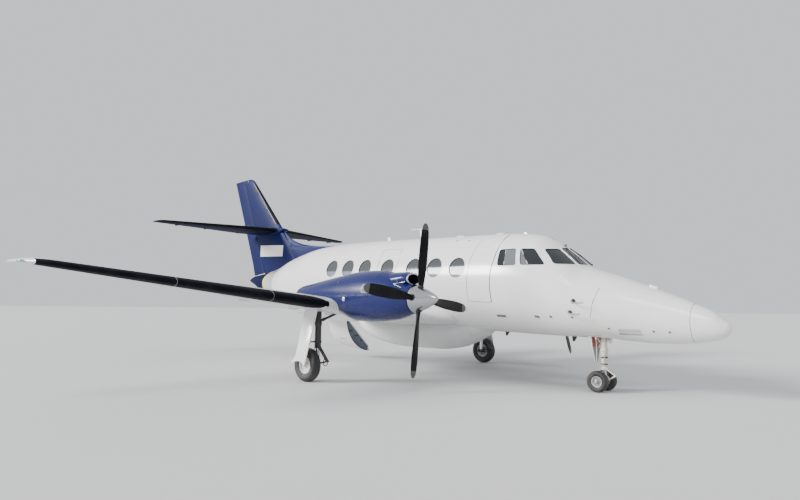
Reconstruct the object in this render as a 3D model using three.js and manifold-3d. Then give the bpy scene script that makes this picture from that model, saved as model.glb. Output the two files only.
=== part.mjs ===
// Nineteen-seat low-wing twin turboprop airliner, parked on its gear with the airstair door open.
// Millimetres, +X towards the nose, +Y to port (left), +Z up, ground at z = 0.
// The origin is under the middle of the overall box. s is the distance aft of the nose tip: x = noseX - s.
import * as THREE from 'three';
import { mergeVertices } from 'three/addons/utils/BufferGeometryUtils.js';
import Module from 'manifold-3d';

const wasm = await Module();
wasm.setup();

// Driving dimensions
const length = 14370;
const noseX = length / 2;
const seat = 0.3;
const clearance = 6;
const bodySides = 28;
const nacelleSides = 20;

// Fuselage sections: s, top z, bottom z, half width
const fuselageRows = [
  { s: 0, top: 1200, bottom: 1150, half: 25 },
  { s: 25, top: 1243, bottom: 1091, half: 80 },
  { s: 80, top: 1290, bottom: 1031, half: 136 },
  { s: 250, top: 1426, bottom: 971, half: 236 },
  { s: 560, top: 1571, bottom: 919, half: 343 },
  { s: 1100, top: 1796, bottom: 888, half: 500 },
  { s: 1700, top: 2022, bottom: 915, half: 680 },
  { s: 2224, top: 2204, bottom: 938, half: 800 },
  { s: 2504, top: 2424, bottom: 940, half: 860 },
  { s: 2795, top: 2650, bottom: 942, half: 905 },
  { s: 3100, top: 2828, bottom: 950, half: 942 },
  { s: 3500, top: 2911, bottom: 960, half: 970 },
  { s: 4000, top: 2948, bottom: 974, half: 988 },
  { s: 5000, top: 2974, bottom: 994, half: 990 },
  { s: 8500, top: 3052, bottom: 1072, half: 990 },
  { s: 9500, top: 3013, bottom: 1108, half: 970 },
  { s: 10500, top: 2838, bottom: 1208, half: 882 },
  { s: 11500, top: 2551, bottom: 1570, half: 600 },
  { s: 12500, top: 2385, bottom: 1890, half: 350 },
  { s: 13000, top: 2340, bottom: 2080, half: 170 },
  { s: 13285, top: 2255, bottom: 2175, half: 50 },
];
const joints = { radome: 515, cockpit: 2205, cabin: 3950, entry: 9450, tail: 10620, end: 13285 };
const bodyStations = [0, 25, 80, 160, 300, 560, 820, 1100, 1400, 1800, 2205, 2504, 2795, 2950, 3100,
  3300, 3600, 3950, 5000, 8500, 9000, 9450, 9720, 10080, 10350, 10620, 11000, 11500, 12000,
  12500, 13000, 13285];
const shell = 55;
const bulkhead = 80;
const cockpitFloor = 1300;
const entryFloor = 1400;

// Cockpit windows: side panes as (s, z) outlines, front panes as (y, z) outlines, port side
const sidePanes = {
  side_window_front: [[3285, 2554], [3029, 2544], [2760, 2228], [3201, 2232]],
  side_window_rear: [[3696, 2555], [3368, 2562], [3282, 2232], [3667, 2236]],
};
const frontPanes = {
  windscreen_corner: [[560, 2540], [302, 2545], [356, 2240], [690, 2240]],
  windscreen_centre: [[255, 2560], [28, 2592], [28, 2246], [312, 2240]],
};
const paneDepth = 10;
const paneThickness = 14;

// Belly pod under the centre fuselage
const podRows = [
  { s: 4385, top: 1260, bottom: 985, half: 60 },
  { s: 4480, top: 1300, bottom: 905, half: 300 },
  { s: 4750, top: 1320, bottom: 760, half: 450 },
  { s: 5200, top: 1320, bottom: 600, half: 545 },
  { s: 5700, top: 1320, bottom: 541, half: 570 },
  { s: 6700, top: 1320, bottom: 545, half: 570 },
  { s: 7440, top: 1320, bottom: 645, half: 530 },
  { s: 7950, top: 1320, bottom: 850, half: 400 },
  { s: 8290, top: 1300, bottom: 1045, half: 120 },
];
const podStations = [4385, 4480, 4750, 4950, 5200, 5700, 6700, 7100, 7440, 7950, 8150, 8290];

// Wing rows: y, leading edge s, chord, leading edge z, greatest depth, fall from leading to trailing edge
const wingRows = [
  { y: 0, lead: 5690, chord: 2190, z: 1156, depth: 390, fall: 27 },
  { y: 7600, lead: 6318, chord: 857, z: 1981, depth: 122, fall: -19 },
  { y: 7760, lead: 6400, chord: 770, z: 1999, depth: 100, fall: -17 },
  { y: 7860, lead: 6640, chord: 520, z: 2012, depth: 68, fall: -12 },
  { y: 7925, lead: 6880, chord: 260, z: 2022, depth: 30, fall: -6 },
];
const wingCamber = 0.018;
// Chord fractions of a section's points, closer together at the nose, with the hinge line among them
const foilFractions = [0, 0.015, 0.06, 0.14, 0.26, 0.42, 0.6, 0.75, 0.84, 0.92, 1];
const hingedFractions = [0, 0.36, 0.68, 1];
const wingRoot = 420;
// Root fairing ahead of the wing, from the fuselage side to the nacelle
const gloveRows = [
  { y: 420, lead: 4790, chord: 1500, z: 1205, depth: 250, fall: 0 },
  { y: 1000, lead: 4960, chord: 1400, z: 1235, depth: 235, fall: 0 },
  { y: 1500, lead: 5330, chord: 1100, z: 1300, depth: 215, fall: 0 },
  { y: 2150, lead: 5640, chord: 900, z: 1385, depth: 200, fall: 0 },
];
const flap = { from: 1180, to: 4930, hinge: 0.75 };
const aileron = { from: 5000, to: 7480, hinge: 0.75, endGap: 18 };

// Tailplane rows: y, leading edge s, chord, z, depth
const tailplaneRows = [
  { y: 0, lead: 11800, chord: 1740, z: 3670, depth: 192, fall: 0 },
  { y: 3150, lead: 12645, chord: 475, z: 3670, depth: 66, fall: 0 },
  { y: 3250, lead: 12740, chord: 350, z: 3670, depth: 42, fall: 0 },
  { y: 3300, lead: 12850, chord: 190, z: 3670, depth: 16, fall: 0 },
];
const elevator = { hingeS: 12930, from: 112, to: 3120, rootAngle: 32 };

// Fin rows by height: leading edge s, depth; the hinge line and the trailing edge are straight
const finRows = [
  { z: 2200, lead: 10302, depth: 235 },
  { z: 3783, lead: 11800, depth: 185 },
  { z: 4786, lead: 12750, depth: 138 },
  { z: 5290, lead: 13227, depth: 108 },
  { z: 5380, lead: 13330, depth: 92 },
  { z: 5440, lead: 13520, depth: 40 },
];
const dorsalRows = [
  { z: 2650, lead: 9040, depth: 150 },
  { z: 3040, lead: 9080, depth: 130 },
  { z: 3068, lead: 9700, depth: 122 },
  { z: 3093, lead: 10080, depth: 115 },
  { z: 3175, lead: 10700, depth: 105 },
  { z: 3372, lead: 11270, depth: 96 },
  { z: 3790, lead: 11830, depth: 70 },
];
const dorsalEnd = 12300;
const rudderFoot = { s: 12560, z: 2445 };
const rudderHead = { s: 13853, z: 5430 };
const rudderTrail = { foot: 13105, head: 14370, drop: 90 };

// Nacelle sections around the thrust line, port side
const engineY = 2500;
const thrustZ = 1590;
const nacelleRows = [
  { s: 4320, top: 1830, bottom: 1345, half: 243 },
  { s: 4400, top: 1880, bottom: 1315, half: 276 },
  { s: 4560, top: 1960, bottom: 1262, half: 325 },
  { s: 4700, top: 2030, bottom: 1225, half: 355 },
  { s: 5000, top: 2100, bottom: 1190, half: 392 },
  { s: 5300, top: 2117, bottom: 1172, half: 408 },
  { s: 5700, top: 2103, bottom: 1176, half: 415 },
  { s: 6130, top: 2046, bottom: 1310, half: 410 },
  { s: 6600, top: 1978, bottom: 1390, half: 388 },
  { s: 7000, top: 1915, bottom: 1400, half: 352 },
  { s: 7250, top: 1880, bottom: 1412, half: 320 },
  { s: 7330, top: 1862, bottom: 1425, half: 296 },
];
const nacelleStations = [4320, 4400, 4560, 4700, 5000, 5300, 5700, 5900, 6130, 6600, 7000, 7250, 7330];
const scoopRows = [
  { s: 4370, top: 2040, bottom: 1826, half: 190 },
  { s: 4445, top: 2060, bottom: 1822, half: 212 },
  { s: 4700, top: 2066, bottom: 1760, half: 235 },
  { s: 5050, top: 2040, bottom: 1750, half: 200 },
];
const scoopStations = [4370, 4445, 4700, 5050];
const mouth = { z: 1933, halfHeight: 84, halfWidth: 160, to: 4760 };
const engineBlock = { from: 4700, length: 1100, halfWidth: 265, halfHeight: 330, z: 1650 };
const engineRoom = { from: 4660, halfWidth: 280, halfHeight: 345 };
const tailpipe = { s: 7240, z: 1690, halfWidth: 120, halfHeight: 80 };

// Propeller
const propeller = { hubS: 4220, blades: 4, leanLeft: 0.46, leanRight: -0.12, shaft: 40, bore: 40.8 };
const spinnerRows = [[3812, 17], [3832, 40], [3880, 75], [3960, 117], [4060, 162], [4140, 192]];
const spinnerTip = 3805;
const spinnerEnd = 4140;
const hubRows = [[4140.3, 192], [4220, 222], [4285, 243], [4300, 240]];
const hubEnd = 4300;
const bladeRows = [
  { r: 120, chord: 92, depth: 88, pitch: 34 },
  { r: 260, chord: 104, depth: 74, pitch: 30 },
  { r: 420, chord: 146, depth: 46, pitch: 23 },
  { r: 700, chord: 190, depth: 30, pitch: 14 },
  { r: 1000, chord: 196, depth: 20, pitch: 8 },
  { r: 1250, chord: 160, depth: 13, pitch: 5 },
  { r: 1345, chord: 66, depth: 8, pitch: 4 },
];

// Landing gear
const mainGear = {
  s: 6660,
  legS: 6600,
  legY: 2775,
  wheelY: 2970,
  tyre: 320,
  width: 200,
  axle: 26,
  bore: 26.6,
  axleReach: 92,
  housing: { radius: 64, from: 640, to: 1500 },
  piston: { radius: 44, to: 660 },
  footHalf: 45,
  sideStay: { radius: 26, from: 1140, to: 1330, inboard: 480, forward: 60 },
};
const torqueLink = {
  kneeS: 6300,
  kneeZ: 395,
  from: 700,
  half: 16,
  pin: 26,
  upper: 40,
  lower: 30,
  pinReach: 50,
};
const noseGear = {
  s: 2100,
  legS: 2045,
  wheelY: 178,
  tyre: 185,
  width: 142,
  axle: 22,
  bore: 22.6,
  axleReach: 66,
  upper: { radius: 56, from: 450 },
  collar: { radius: 70, from: 700, to: 760 },
  crossRod: { radius: 30, z: 1120 },
  brace: { radius: 20, from: 780, gap: 40 },
  lower: { radius: 38, bore: 38.8, from: 150, to: 520 },
  foot: { half: 44, from: 145, to: 225 },
  links: { forward: 200, z: 290, half: 34, thick: 12, collar: 58, collarFrom: 380, collarTo: 442 },
};
const noseWell = { from: 1700, to: 2370, half: 205, roof: 1195 };
const legDoor = {
  top: { y: 2900, z: 1420 },
  bottom: { y: 3180, z: 310 },
  outline: [[6839, 1420], [6454, 1420], [6466, 900], [6478, 310], [6560, 380], [6680, 402], [6800, 385],
    [6905, 335], [6800, 500], [6812, 900]],
  thickness: 26,
  struts: { s: 6600, radius: 15, heights: [760, 1120] },
};
// Nose door leaf as a (y, z) outline behind the nose leg
const noseDoor = {
  s: 2190,
  thickness: 12,
  outline: [[12, 880], [12, 520], [34, 505], [62, 528], [178, 800], [204.7, 950], [204.7, 1100], [150, 1100]],
};

// Airstair door in the port side, hinged below its sill
const door = {
  from: 9600,
  to: 10460,
  sill: 1332,
  head: 2660,
  chamfer: 90,
  gap: 6,
  hingeY: 600,
  hingeZ: 1220,
  swing: 129,
  skin: 42,
};
const stringer = { inset: 70, thickness: 26, depth: 150, fromZ: 1440, toZ: 2560 };
const step = { count: 5, thickness: 24, endGap: 70, sideGap: 4 };
const doorLug = { inset: 130, half: 14, pin: 9, reach: 46 };
const doorArm = { half: 9, gap: 20, over: 14, eye: 9.7, boss: 19 };

// Cockpit furniture
const panelBoard = { from: 2700, to: 2790, half: 600, bottom: 1880, top: 2090 };
const pedestal = { from: 2690, to: 2960, half: 110, top: 1900 };
const seatY = 400;
// Seat parts, from the base up: s from, s to, half width, z from, z to
const seatParts = [
  [3240, 3420, 160, cockpitFloor + seat, 1560],
  [3080, 3560, 210, 1550, 1660],
  [3500, 3590, 200, 1650, 2180],
  [3510, 3580, 110, 2170, 2370],
];

const colours = {
  white: { color: 0xf2f1ec, roughness: 0.35, metalness: 0 },
  blue: { color: 0x1d2f86, roughness: 0.3, metalness: 0 },
  black: { color: 0x0c0c0e, roughness: 0.5, metalness: 0 },
  polished: { color: 0xc9ccd0, roughness: 0.18, metalness: 1 },
  steel: { color: 0x9a9ca0, roughness: 0.4, metalness: 1 },
  glass: { color: 0x3c4650, roughness: 0.1, metalness: 0 },
  rubber: { color: 0x1a1a1b, roughness: 0.9, metalness: 0 },
  grey: { color: 0x6a6e74, roughness: 0.7, metalness: 0 },
  cream: { color: 0xdedccb, roughness: 0.5, metalness: 0 },
};

// General helpers
const xAt = (s) => noseX - s;
const point = (s, y, z) => new THREE.Vector3(xAt(s), y, z);
const radians = THREE.MathUtils.degToRad;
const sideways = new THREE.Vector3(0, 1, 0);
const backwards = new THREE.Vector3(-1, 0, 0);

function mix(rows, key, at, field) {
  // Smooth interpolation of one column of a table, with end slopes taken from the neighbours
  if (at <= rows[0][key]) return rows[0][field];
  const last = rows.length - 1;
  if (at >= rows[last][key]) return rows[last][field];
  const i = rows.findIndex((row) => row[key] > at) - 1;
  const slope = (k) => (rows[k + 1][field] - rows[k][field]) / (rows[k + 1][key] - rows[k][key]);
  const tangent = (k) => {
    if (k === 0) return slope(0);
    if (k === last) return slope(last - 1);
    const before = slope(k - 1);
    const after = slope(k);
    return before * after <= 0 ? 0 : (2 * before * after) / (before + after);
  };
  const span = rows[i + 1][key] - rows[i][key];
  const t = (at - rows[i][key]) / span;
  const curve = (2 * t - 3) * t * t;
  return rows[i][field] * (1 + curve) - rows[i + 1][field] * curve
    + span * t * (1 - t) * (tangent(i) * (1 - t) - tangent(i + 1) * t);
}

function straight(rows, key, at, field) {
  const i = Math.min(Math.max(rows.findIndex((row) => row[key] > at) - 1, 0), rows.length - 2);
  const low = rows[rows.some((row) => row[key] > at) ? i : rows.length - 2];
  const high = rows[rows.indexOf(low) + 1];
  return low[field] + ((high[field] - low[field]) * (at - low[key])) / (high[key] - low[key]);
}

function closed(positions, triangles) {
  // Turns the faces outwards, whichever way round the rings were listed
  const geometry = new THREE.BufferGeometry();
  geometry.setAttribute('position', new THREE.Float32BufferAttribute(positions, 3));
  let volume = 0;
  const corner = (i) => new THREE.Vector3().fromArray(positions, 3 * i);
  for (let i = 0; i < triangles.length; i += 3) {
    volume += corner(triangles[i]).dot(corner(triangles[i + 1]).cross(corner(triangles[i + 2])));
  }
  if (volume < 0) triangles.reverse();
  geometry.setIndex(triangles);
  return geometry;
}

function loft(rings, flatAxis) {
  // Skin over rings of equal point counts, with a cap at each end laid out flat across flatAxis
  const count = rings[0].length;
  const positions = rings.flat().flatMap((p) => [p.x, p.y, p.z]);
  const triangles = [];
  for (let ring = 0; ring < rings.length - 1; ring += 1) {
    for (let i = 0; i < count; i += 1) {
      const next = (i + 1) % count;
      const a = ring * count + i;
      const b = ring * count + next;
      // The diagonals mirror each other about the aircraft's centre plane
      const port = rings[ring][i].y + rings[ring][next].y > -1e-6;
      if (port) triangles.push(a, b, b + count, a, b + count, a + count);
      else triangles.push(a, b, a + count, b, b + count, a + count);
    }
  }
  const [u, v] = { x: ['y', 'z'], y: ['x', 'z'], z: ['x', 'y'] }[flatAxis];
  const cap = (ring, offset, asRing) => {
    // Each cap triangle is turned to run with or against the order of its ring
    const outline = ring.map((p) => new THREE.Vector2(p[u], p[v]));
    const ringSign = Math.sign(THREE.ShapeUtils.area(outline));
    for (const [a, b, c] of THREE.ShapeUtils.triangulateShape(outline, [])) {
      const sign = Math.sign(THREE.ShapeUtils.area([outline[a], outline[b], outline[c]]));
      const keep = (sign === ringSign) === asRing;
      triangles.push(offset + a, offset + (keep ? b : c), offset + (keep ? c : b));
    }
  };
  cap(rings[0], 0, false);
  cap(rings[rings.length - 1], (rings.length - 1) * count, true);
  return solid(closed(positions, triangles));
}

function solid(geometry) {
  const plain = geometry.index ? geometry : mergeVertices(geometry);
  plain.deleteAttribute('normal');
  plain.deleteAttribute('uv');
  const merged = mergeVertices(plain, 1e-3);
  return new wasm.Manifold(new wasm.Mesh({
    numProp: 3,
    vertProperties: new Float32Array(merged.getAttribute('position').array),
    triVerts: new Uint32Array(merged.index.array),
  }));
}

function geometryOf(body) {
  const mesh = body.getMesh();
  const geometry = new THREE.BufferGeometry();
  geometry.setAttribute('position', new THREE.BufferAttribute(new Float32Array(mesh.vertProperties), 3));
  geometry.setIndex(new THREE.BufferAttribute(new Uint32Array(mesh.triVerts), 1));
  return geometry;
}

function mirrored(geometry) {
  // The starboard twin of a port piece
  const twin = geometry.clone();
  const place = twin.getAttribute('position');
  for (let i = 0; i < place.count; i += 1) place.setY(i, -place.getY(i));
  twin.setIndex([...twin.index.array].reverse());
  return twin;
}

const join = (...bodies) => bodies.reduce((sum, body) => sum.add(body));
const cut = (body, ...tools) => tools.reduce((rest, tool) => rest.subtract(tool), body);

function block(sFrom, sTo, yFrom, yTo, zFrom, zTo) {
  const box = new THREE.BoxGeometry(sTo - sFrom, yTo - yFrom, zTo - zFrom);
  box.translate(xAt((sFrom + sTo) / 2), (yFrom + yTo) / 2, (zFrom + zTo) / 2);
  return solid(box);
}

function rod(from, to, radius, sides = 16) {
  // Round bar between two points
  const axis = new THREE.Vector3().subVectors(to, from);
  const bar = new THREE.CylinderGeometry(radius, radius, axis.length(), sides);
  bar.applyQuaternion(new THREE.Quaternion().setFromUnitVectors(sideways, axis.normalize()));
  const middle = new THREE.Vector3().addVectors(from, to).multiplyScalar(0.5);
  return solid(bar.translate(middle.x, middle.y, middle.z));
}

function turned(profile, centre, axis, sides, turn = 0) {
  // Lathe piece: the profile holds (radius, height along the axis) from one end to the other
  const lathe = new THREE.LatheGeometry(profile.map(([r, h]) => new THREE.Vector2(r, h)), sides);
  lathe.rotateY(turn);
  lathe.applyQuaternion(new THREE.Quaternion().setFromUnitVectors(sideways, axis));
  lathe.translate(centre.x, centre.y, centre.z);
  const merged = mergeVertices(stripped(lathe), 1e-3);
  return solid(closed([...merged.getAttribute('position').array], [...merged.index.array]));
}

function stripped(geometry) {
  geometry.deleteAttribute('normal');
  geometry.deleteAttribute('uv');
  return geometry;
}

function prismY(outline, yFrom, yTo) {
  // (s, z) outline pushed across the aircraft
  return loft([yFrom, yTo].map((y) => outline.map(([s, z]) => point(s, y, z))), 'y');
}

function prismX(outline, sFrom, sTo) {
  // (y, z) outline pushed along the aircraft
  return loft([sFrom, sTo].map((s) => outline.map(([y, z]) => point(s, y, z))), 'x');
}

function barOutline(a, b, half, over) {
  // Rectangle about the line from a to b, reaching past a by over
  const way = new THREE.Vector2(b[0] - a[0], b[1] - a[1]).normalize();
  const from = [a[0] - way.x * over, a[1] - way.y * over];
  const side = [-way.y * half, way.x * half];
  return [[from[0] + side[0], from[1] + side[1]], [b[0] + side[0], b[1] + side[1]],
    [b[0] - side[0], b[1] - side[1]], [from[0] - side[0], from[1] - side[1]]];
}

function skinY(s, z) {
  // Half width of the fuselage at height z
  const top = mix(fuselageRows, 's', s, 'top');
  const bottom = mix(fuselageRows, 's', s, 'bottom');
  const high = (2 * z - top - bottom) / (top - bottom);
  return mix(fuselageRows, 's', s, 'half') * Math.sqrt(Math.max(1 - high ** 2, 0));
}

function hullRing(rows, s, { centreY = 0, grow = 0, sides = bodySides } = {}) {
  const top = mix(rows, 's', s, 'top') + grow;
  const bottom = mix(rows, 's', s, 'bottom') - grow;
  const half = mix(rows, 's', s, 'half') + grow;
  return Array.from({ length: sides }, (_, i) => {
    const angle = ((i + 0.5) / sides) * 2 * Math.PI;
    const z = (top + bottom) / 2 + ((top - bottom) / 2) * Math.sin(angle);
    return point(s, centreY + half * Math.cos(angle), z);
  });
}

function hull(rows, stations, from, to, options = {}) {
  const inner = stations.filter((s) => s > from + 1 && s < to - 1);
  return loft([from, ...inner, to].map((s) => hullRing(rows, s, options)), 'x');
}

const fuselage = (from, to, grow = 0) => hull(fuselageRows, bodyStations, from, to, { grow });

function halfDepth(x, depth) {
  // Half thickness of a common laminar section at chord fraction x
  const shape = 0.2969 * Math.sqrt(x) - 0.126 * x - 0.3516 * x ** 2 + 0.2843 * x ** 3 - 0.1015 * x ** 4;
  return 5 * depth * shape;
}

function foilAt(rows, y) {
  const row = {};
  for (const field of ['lead', 'chord', 'z', 'depth', 'fall']) row[field] = straight(rows, 'y', y, field);
  return row;
}

function onFoil(rows, y, x, side, { camber = 0, grow = 0 } = {}) {
  // Point of the section at chord fraction x: side 1 upper, -1 lower, 0 on the mean line
  const { lead, chord, z, depth, fall } = foilAt(rows, y);
  const bow = 4 * camber * x * (1 - x) * chord;
  return point(lead + x * chord, y, z - x * fall + bow + side * (halfDepth(x, depth) + grow));
}

function foilRing(rows, y, options = {}) {
  const upper = [...foilFractions].reverse().map((x) => onFoil(rows, y, x, 1, options));
  const lower = foilFractions.slice(1).map((x) => onFoil(rows, y, x, -1, options));
  if (options.grow) {
    const nose = onFoil(rows, y, 0, 0, options);
    nose.x += options.grow;
    return [...upper.slice(0, -1), nose, ...lower];
  }
  return [...upper, ...lower];
}

function foilSolid(rows, from, to, options = {}) {
  const marks = [...rows.map((row) => row.y), ...(options.marks || [])].sort((a, b) => a - b);
  const ys = [from, ...marks.filter((y) => y > from + 1 && y < to - 1), to];
  return loft(ys.map((y) => foilRing(rows, y, options)), 'y');
}

function controlSurface(rows, from, to, hingeAt, options = {}) {
  // Rear part of a section with a round nose about its hinge, between two span stations
  const ring = (y) => {
    const hingeX = hingeAt(y);
    const hinge = onFoil(rows, y, hingeX, 0, options);
    const upper = onFoil(rows, y, hingeX, 1, options);
    const radius = upper.distanceTo(hinge);
    const fractions = hingedFractions.map((t) => hingeX + (1 - hingeX) * t);
    const top = fractions.map((x) => onFoil(rows, y, x, 1, options)).reverse();
    const nose = [0.75, 0.5, 0.25].map((t) => {
      const angle = (t - 0.5) * Math.PI;
      return new THREE.Vector3(hinge.x + radius * Math.cos(angle), y, hinge.z + radius * Math.sin(angle));
    });
    const under = fractions.map((x) => onFoil(rows, y, x, -1, options));
    return [...top, ...nose, ...under];
  };
  return loft([ring(from), ring(to)], 'y');
}

function controlBay(rows, from, to, hingeAt, gap, options = {}) {
  // The room that a control surface and its nose need in the fixed surface
  const ring = (y) => {
    const hinge = onFoil(rows, y, hingeAt(y), 0, options);
    const radius = onFoil(rows, y, hingeAt(y), 1, options).distanceTo(hinge) + gap;
    const front = hinge.x + radius;
    const back = hinge.x - 1200;
    return [
      new THREE.Vector3(front, y, hinge.z - 400),
      new THREE.Vector3(back, y, hinge.z - 400),
      new THREE.Vector3(back, y, hinge.z + 400),
      new THREE.Vector3(front, y, hinge.z + 400),
    ];
  };
  return loft([ring(from), ring(to)], 'y');
}

const group = new THREE.Group();

function place(name, geometry, look) {
  geometry.computeVertexNormals();
  const mesh = new THREE.Mesh(geometry, new THREE.MeshStandardMaterial(colours[look]));
  mesh.name = name;
  group.add(mesh);
}

function placePair(name, body, look) {
  const geometry = geometryOf(body);
  place(`${name}_left`, geometry, look);
  place(`${name}_right`, mirrored(geometry), look);
}

// Fuselage
const noseWellRoom = block(noseWell.from, noseWell.to, -noseWell.half, noseWell.half, 600, noseWell.roof);
place('radome', geometryOf(fuselage(0, joints.radome)), 'white');
place('nose_section', geometryOf(cut(fuselage(joints.radome + seat, joints.cockpit), noseWellRoom)), 'white');

const paneTools = [];
const panes = {};
for (const [name, outline] of Object.entries(sidePanes)) {
  panes[name] = (shrink) => prismY(inset(outline, shrink), 420, 1100);
}
for (const [name, outline] of Object.entries(frontPanes)) {
  panes[name] = (shrink) => prismX(inset(outline, shrink), 2120, name === 'windscreen_centre' ? 2860 : 2990);
}
function inset(outline, distance) {
  // The outline with every corner moved towards the middle
  const share = 1 / outline.length;
  const middle = outline.reduce((sum, [a, b]) => [sum[0] + a * share, sum[1] + b * share], [0, 0]);
  return outline.map(([a, b]) => {
    const away = new THREE.Vector2(a - middle[0], b - middle[1]);
    away.setLength(away.length() - distance);
    return [middle[0] + away.x, middle[1] + away.y];
  });
}
const glassSkin = cut(fuselage(joints.cockpit + 5, joints.cabin - 5, -paneDepth),
  fuselage(joints.cockpit - 5, joints.cabin + 5, -paneDepth - paneThickness));
for (const [name, prism] of Object.entries(panes)) {
  const opening = prism(0);
  paneTools.push(opening, solid(mirrored(geometryOf(opening))));
  placePair(name, glassSkin.intersect(prism(0.6)), 'glass');
}
const cockpitRoom = fuselage(joints.cockpit - 10, joints.cabin + 10, -shell)
  .intersect(block(joints.cockpit - 20, joints.cabin + 20, -1100, 1100, cockpitFloor, 3000));
place('cockpit_section', geometryOf(cut(fuselage(joints.cockpit + seat, joints.cabin),
  cockpitRoom, noseWellRoom, ...paneTools)), 'white');

const cabinRoom = fuselage(joints.cabin + bulkhead, joints.entry + 10, -shell);
place('cabin_section', geometryOf(cut(fuselage(joints.cabin + seat, joints.entry), cabinRoom)), 'white');

// Airstair door and the entry behind it
const doorOutline = (gap) => [
  [door.from + gap, door.sill + gap], [door.to - gap, door.sill + gap],
  [door.to - gap, door.head - gap - door.chamfer], [door.to - gap - door.chamfer, door.head - gap],
  [door.from + gap + door.chamfer, door.head - gap], [door.from + gap, door.head - gap - door.chamfer],
];
// The port side's width, between the middle of the cabin and outside the skin
const portFrom = 150;
const portTo = 1200;
const doorway = prismY(doorOutline(0), portFrom, portTo);
const entryRoom = fuselage(joints.entry + bulkhead, joints.tail - bulkhead, -shell)
  .intersect(block(joints.entry, joints.tail, -1000, 1000, entryFloor, 3000));
const hingeLugs = [door.from + doorLug.inset, door.to - doorLug.inset];
let entry = cut(fuselage(joints.entry + seat, joints.tail), entryRoom, doorway);
for (const s of hingeLugs) {
  const rootZ = door.hingeZ + 60;
  const root = [skinY(s, rootZ) - 20, rootZ];
  const arm = prismX(barOutline([door.hingeY, door.hingeZ], root, doorLug.half, 18),
    s - doorLug.half, s + doorLug.half);
  const pin = rod(point(s - doorLug.reach, door.hingeY, door.hingeZ),
    point(s + doorLug.reach, door.hingeY, door.hingeZ), doorLug.pin);
  entry = join(entry, arm, pin);
}
place('entry_section', geometryOf(entry), 'white');

const doorBand = (grow) => fuselage(joints.entry - 50, joints.tail + 80, grow);
const doorSkin = cut(doorBand(0), fuselage(joints.entry - 150, joints.tail + 180, -door.skin))
  .intersect(prismY(doorOutline(door.gap), portFrom, portTo));
const closedDoor = [doorSkin];
const stringerBand = cut(doorBand(-door.skin + 4), doorBand(-door.skin - stringer.depth));
const stringerFronts = [door.from + stringer.inset, door.to - stringer.inset - stringer.thickness];
for (const s of stringerFronts) {
  closedDoor.push(stringerBand.intersect(block(s, s + stringer.thickness, portFrom, portTo,
    stringer.fromZ, stringer.toZ)));
}
const stepPitch = (stringer.toZ - stringer.fromZ - 2 * step.endGap) / (step.count - 1);
const stepEdge = stringer.inset + step.sideGap;
for (let i = 0; i < step.count; i += 1) {
  const z = stringer.fromZ + step.endGap + i * stepPitch;
  closedDoor.push(stringerBand.intersect(block(door.from + stepEdge, door.to - stepEdge,
    portFrom, portTo, z, z + step.thickness)));
}
for (const s of hingeLugs) {
  for (const side of [-1, 1]) {
    const ends = [s + side * doorArm.gap, s + side * (doorLug.reach + doorArm.over)];
    const low = Math.min(...ends);
    const high = Math.max(...ends);
    const rootZ = door.sill + 60;
    const root = [skinY(s, rootZ) - 14, rootZ];
    const arm = prismX(barOutline([door.hingeY, door.hingeZ], root, doorArm.half, 16), low, high);
    const eye = rod(point(low - 1, door.hingeY, door.hingeZ), point(high + 1, door.hingeY, door.hingeZ),
      doorArm.eye);
    const boss = rod(point(low, door.hingeY, door.hingeZ), point(high, door.hingeY, door.hingeZ),
      doorArm.boss);
    closedDoor.push(cut(join(arm, boss), eye));
  }
}
const openDoor = geometryOf(join(...closedDoor));
openDoor.translate(0, -door.hingeY, -door.hingeZ);
openDoor.rotateX(-radians(door.swing));
openDoor.translate(0, door.hingeY, door.hingeZ);
place('passenger_door', openDoor, 'white');

const tailRoom = fuselage(joints.tail - 10, 12500, -shell - 15);
const hingeSAt = (z) => rudderFoot.s + ((rudderHead.s - rudderFoot.s) * (z - rudderFoot.z))
  / (rudderHead.z - rudderFoot.z);
const rudderPin = rod(point(hingeSAt(2340), 0, 2340), point(hingeSAt(2490), 0, 2490), 14);
const tailSection = join(cut(fuselage(joints.tail + seat, joints.end), tailRoom), rudderPin);
place('tail_section', geometryOf(tailSection), 'white');

const bodyTool = fuselage(3000, joints.end, seat);
const pod = cut(hull(podRows, podStations, 4385, 8290), bodyTool);
place('belly_pod', geometryOf(pod), 'white');
const podTool = hull(podRows, podStations, 4385, 8290, { grow: seat });

// Wing with its flap and aileron, port side
const wingOptions = { camber: wingCamber, marks: [flap.from, flap.to, aileron.from, aileron.to] };
const wingBlank = foilSolid(wingRows, wingRoot, 7925, wingOptions);
const glove = foilSolid(gloveRows, 420, 2150, {});
const flapHinge = () => flap.hinge;
const aileronHinge = () => aileron.hinge;
const flapBay = controlBay(wingRows, flap.from, flap.to, flapHinge, seat, wingOptions);
const aileronBay = controlBay(wingRows, aileron.from - aileron.endGap, aileron.to + aileron.endGap,
  aileronHinge, clearance, wingOptions);
const aileronEnds = [aileron.from, aileron.to].map((y) => onFoil(wingRows, y, aileron.hinge, 0, wingOptions));
const aileronAxis = new THREE.Vector3().subVectors(aileronEnds[1], aileronEnds[0]).normalize();
const along = (from, axis, distance) => from.clone().addScaledVector(axis, distance);
const aileronPins = [
  rod(along(aileronEnds[0], aileronAxis, -44), along(aileronEnds[0], aileronAxis, 24), 7, 12),
  rod(along(aileronEnds[1], aileronAxis, -24), along(aileronEnds[1], aileronAxis, 44), 7, 12),
];
const aileronBores = [
  rod(along(aileronEnds[0], aileronAxis, -10), along(aileronEnds[0], aileronAxis, 30), 7.8, 12),
  rod(along(aileronEnds[1], aileronAxis, -30), along(aileronEnds[1], aileronAxis, 10), 7.8, 12),
];
const wing = join(cut(join(wingBlank, glove), bodyTool, podTool, flapBay, aileronBay), ...aileronPins);
placePair('wing', wing, 'white');
placePair('flap', controlSurface(wingRows, flap.from + seat, flap.to - seat, flapHinge, wingOptions),
  'white');
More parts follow.
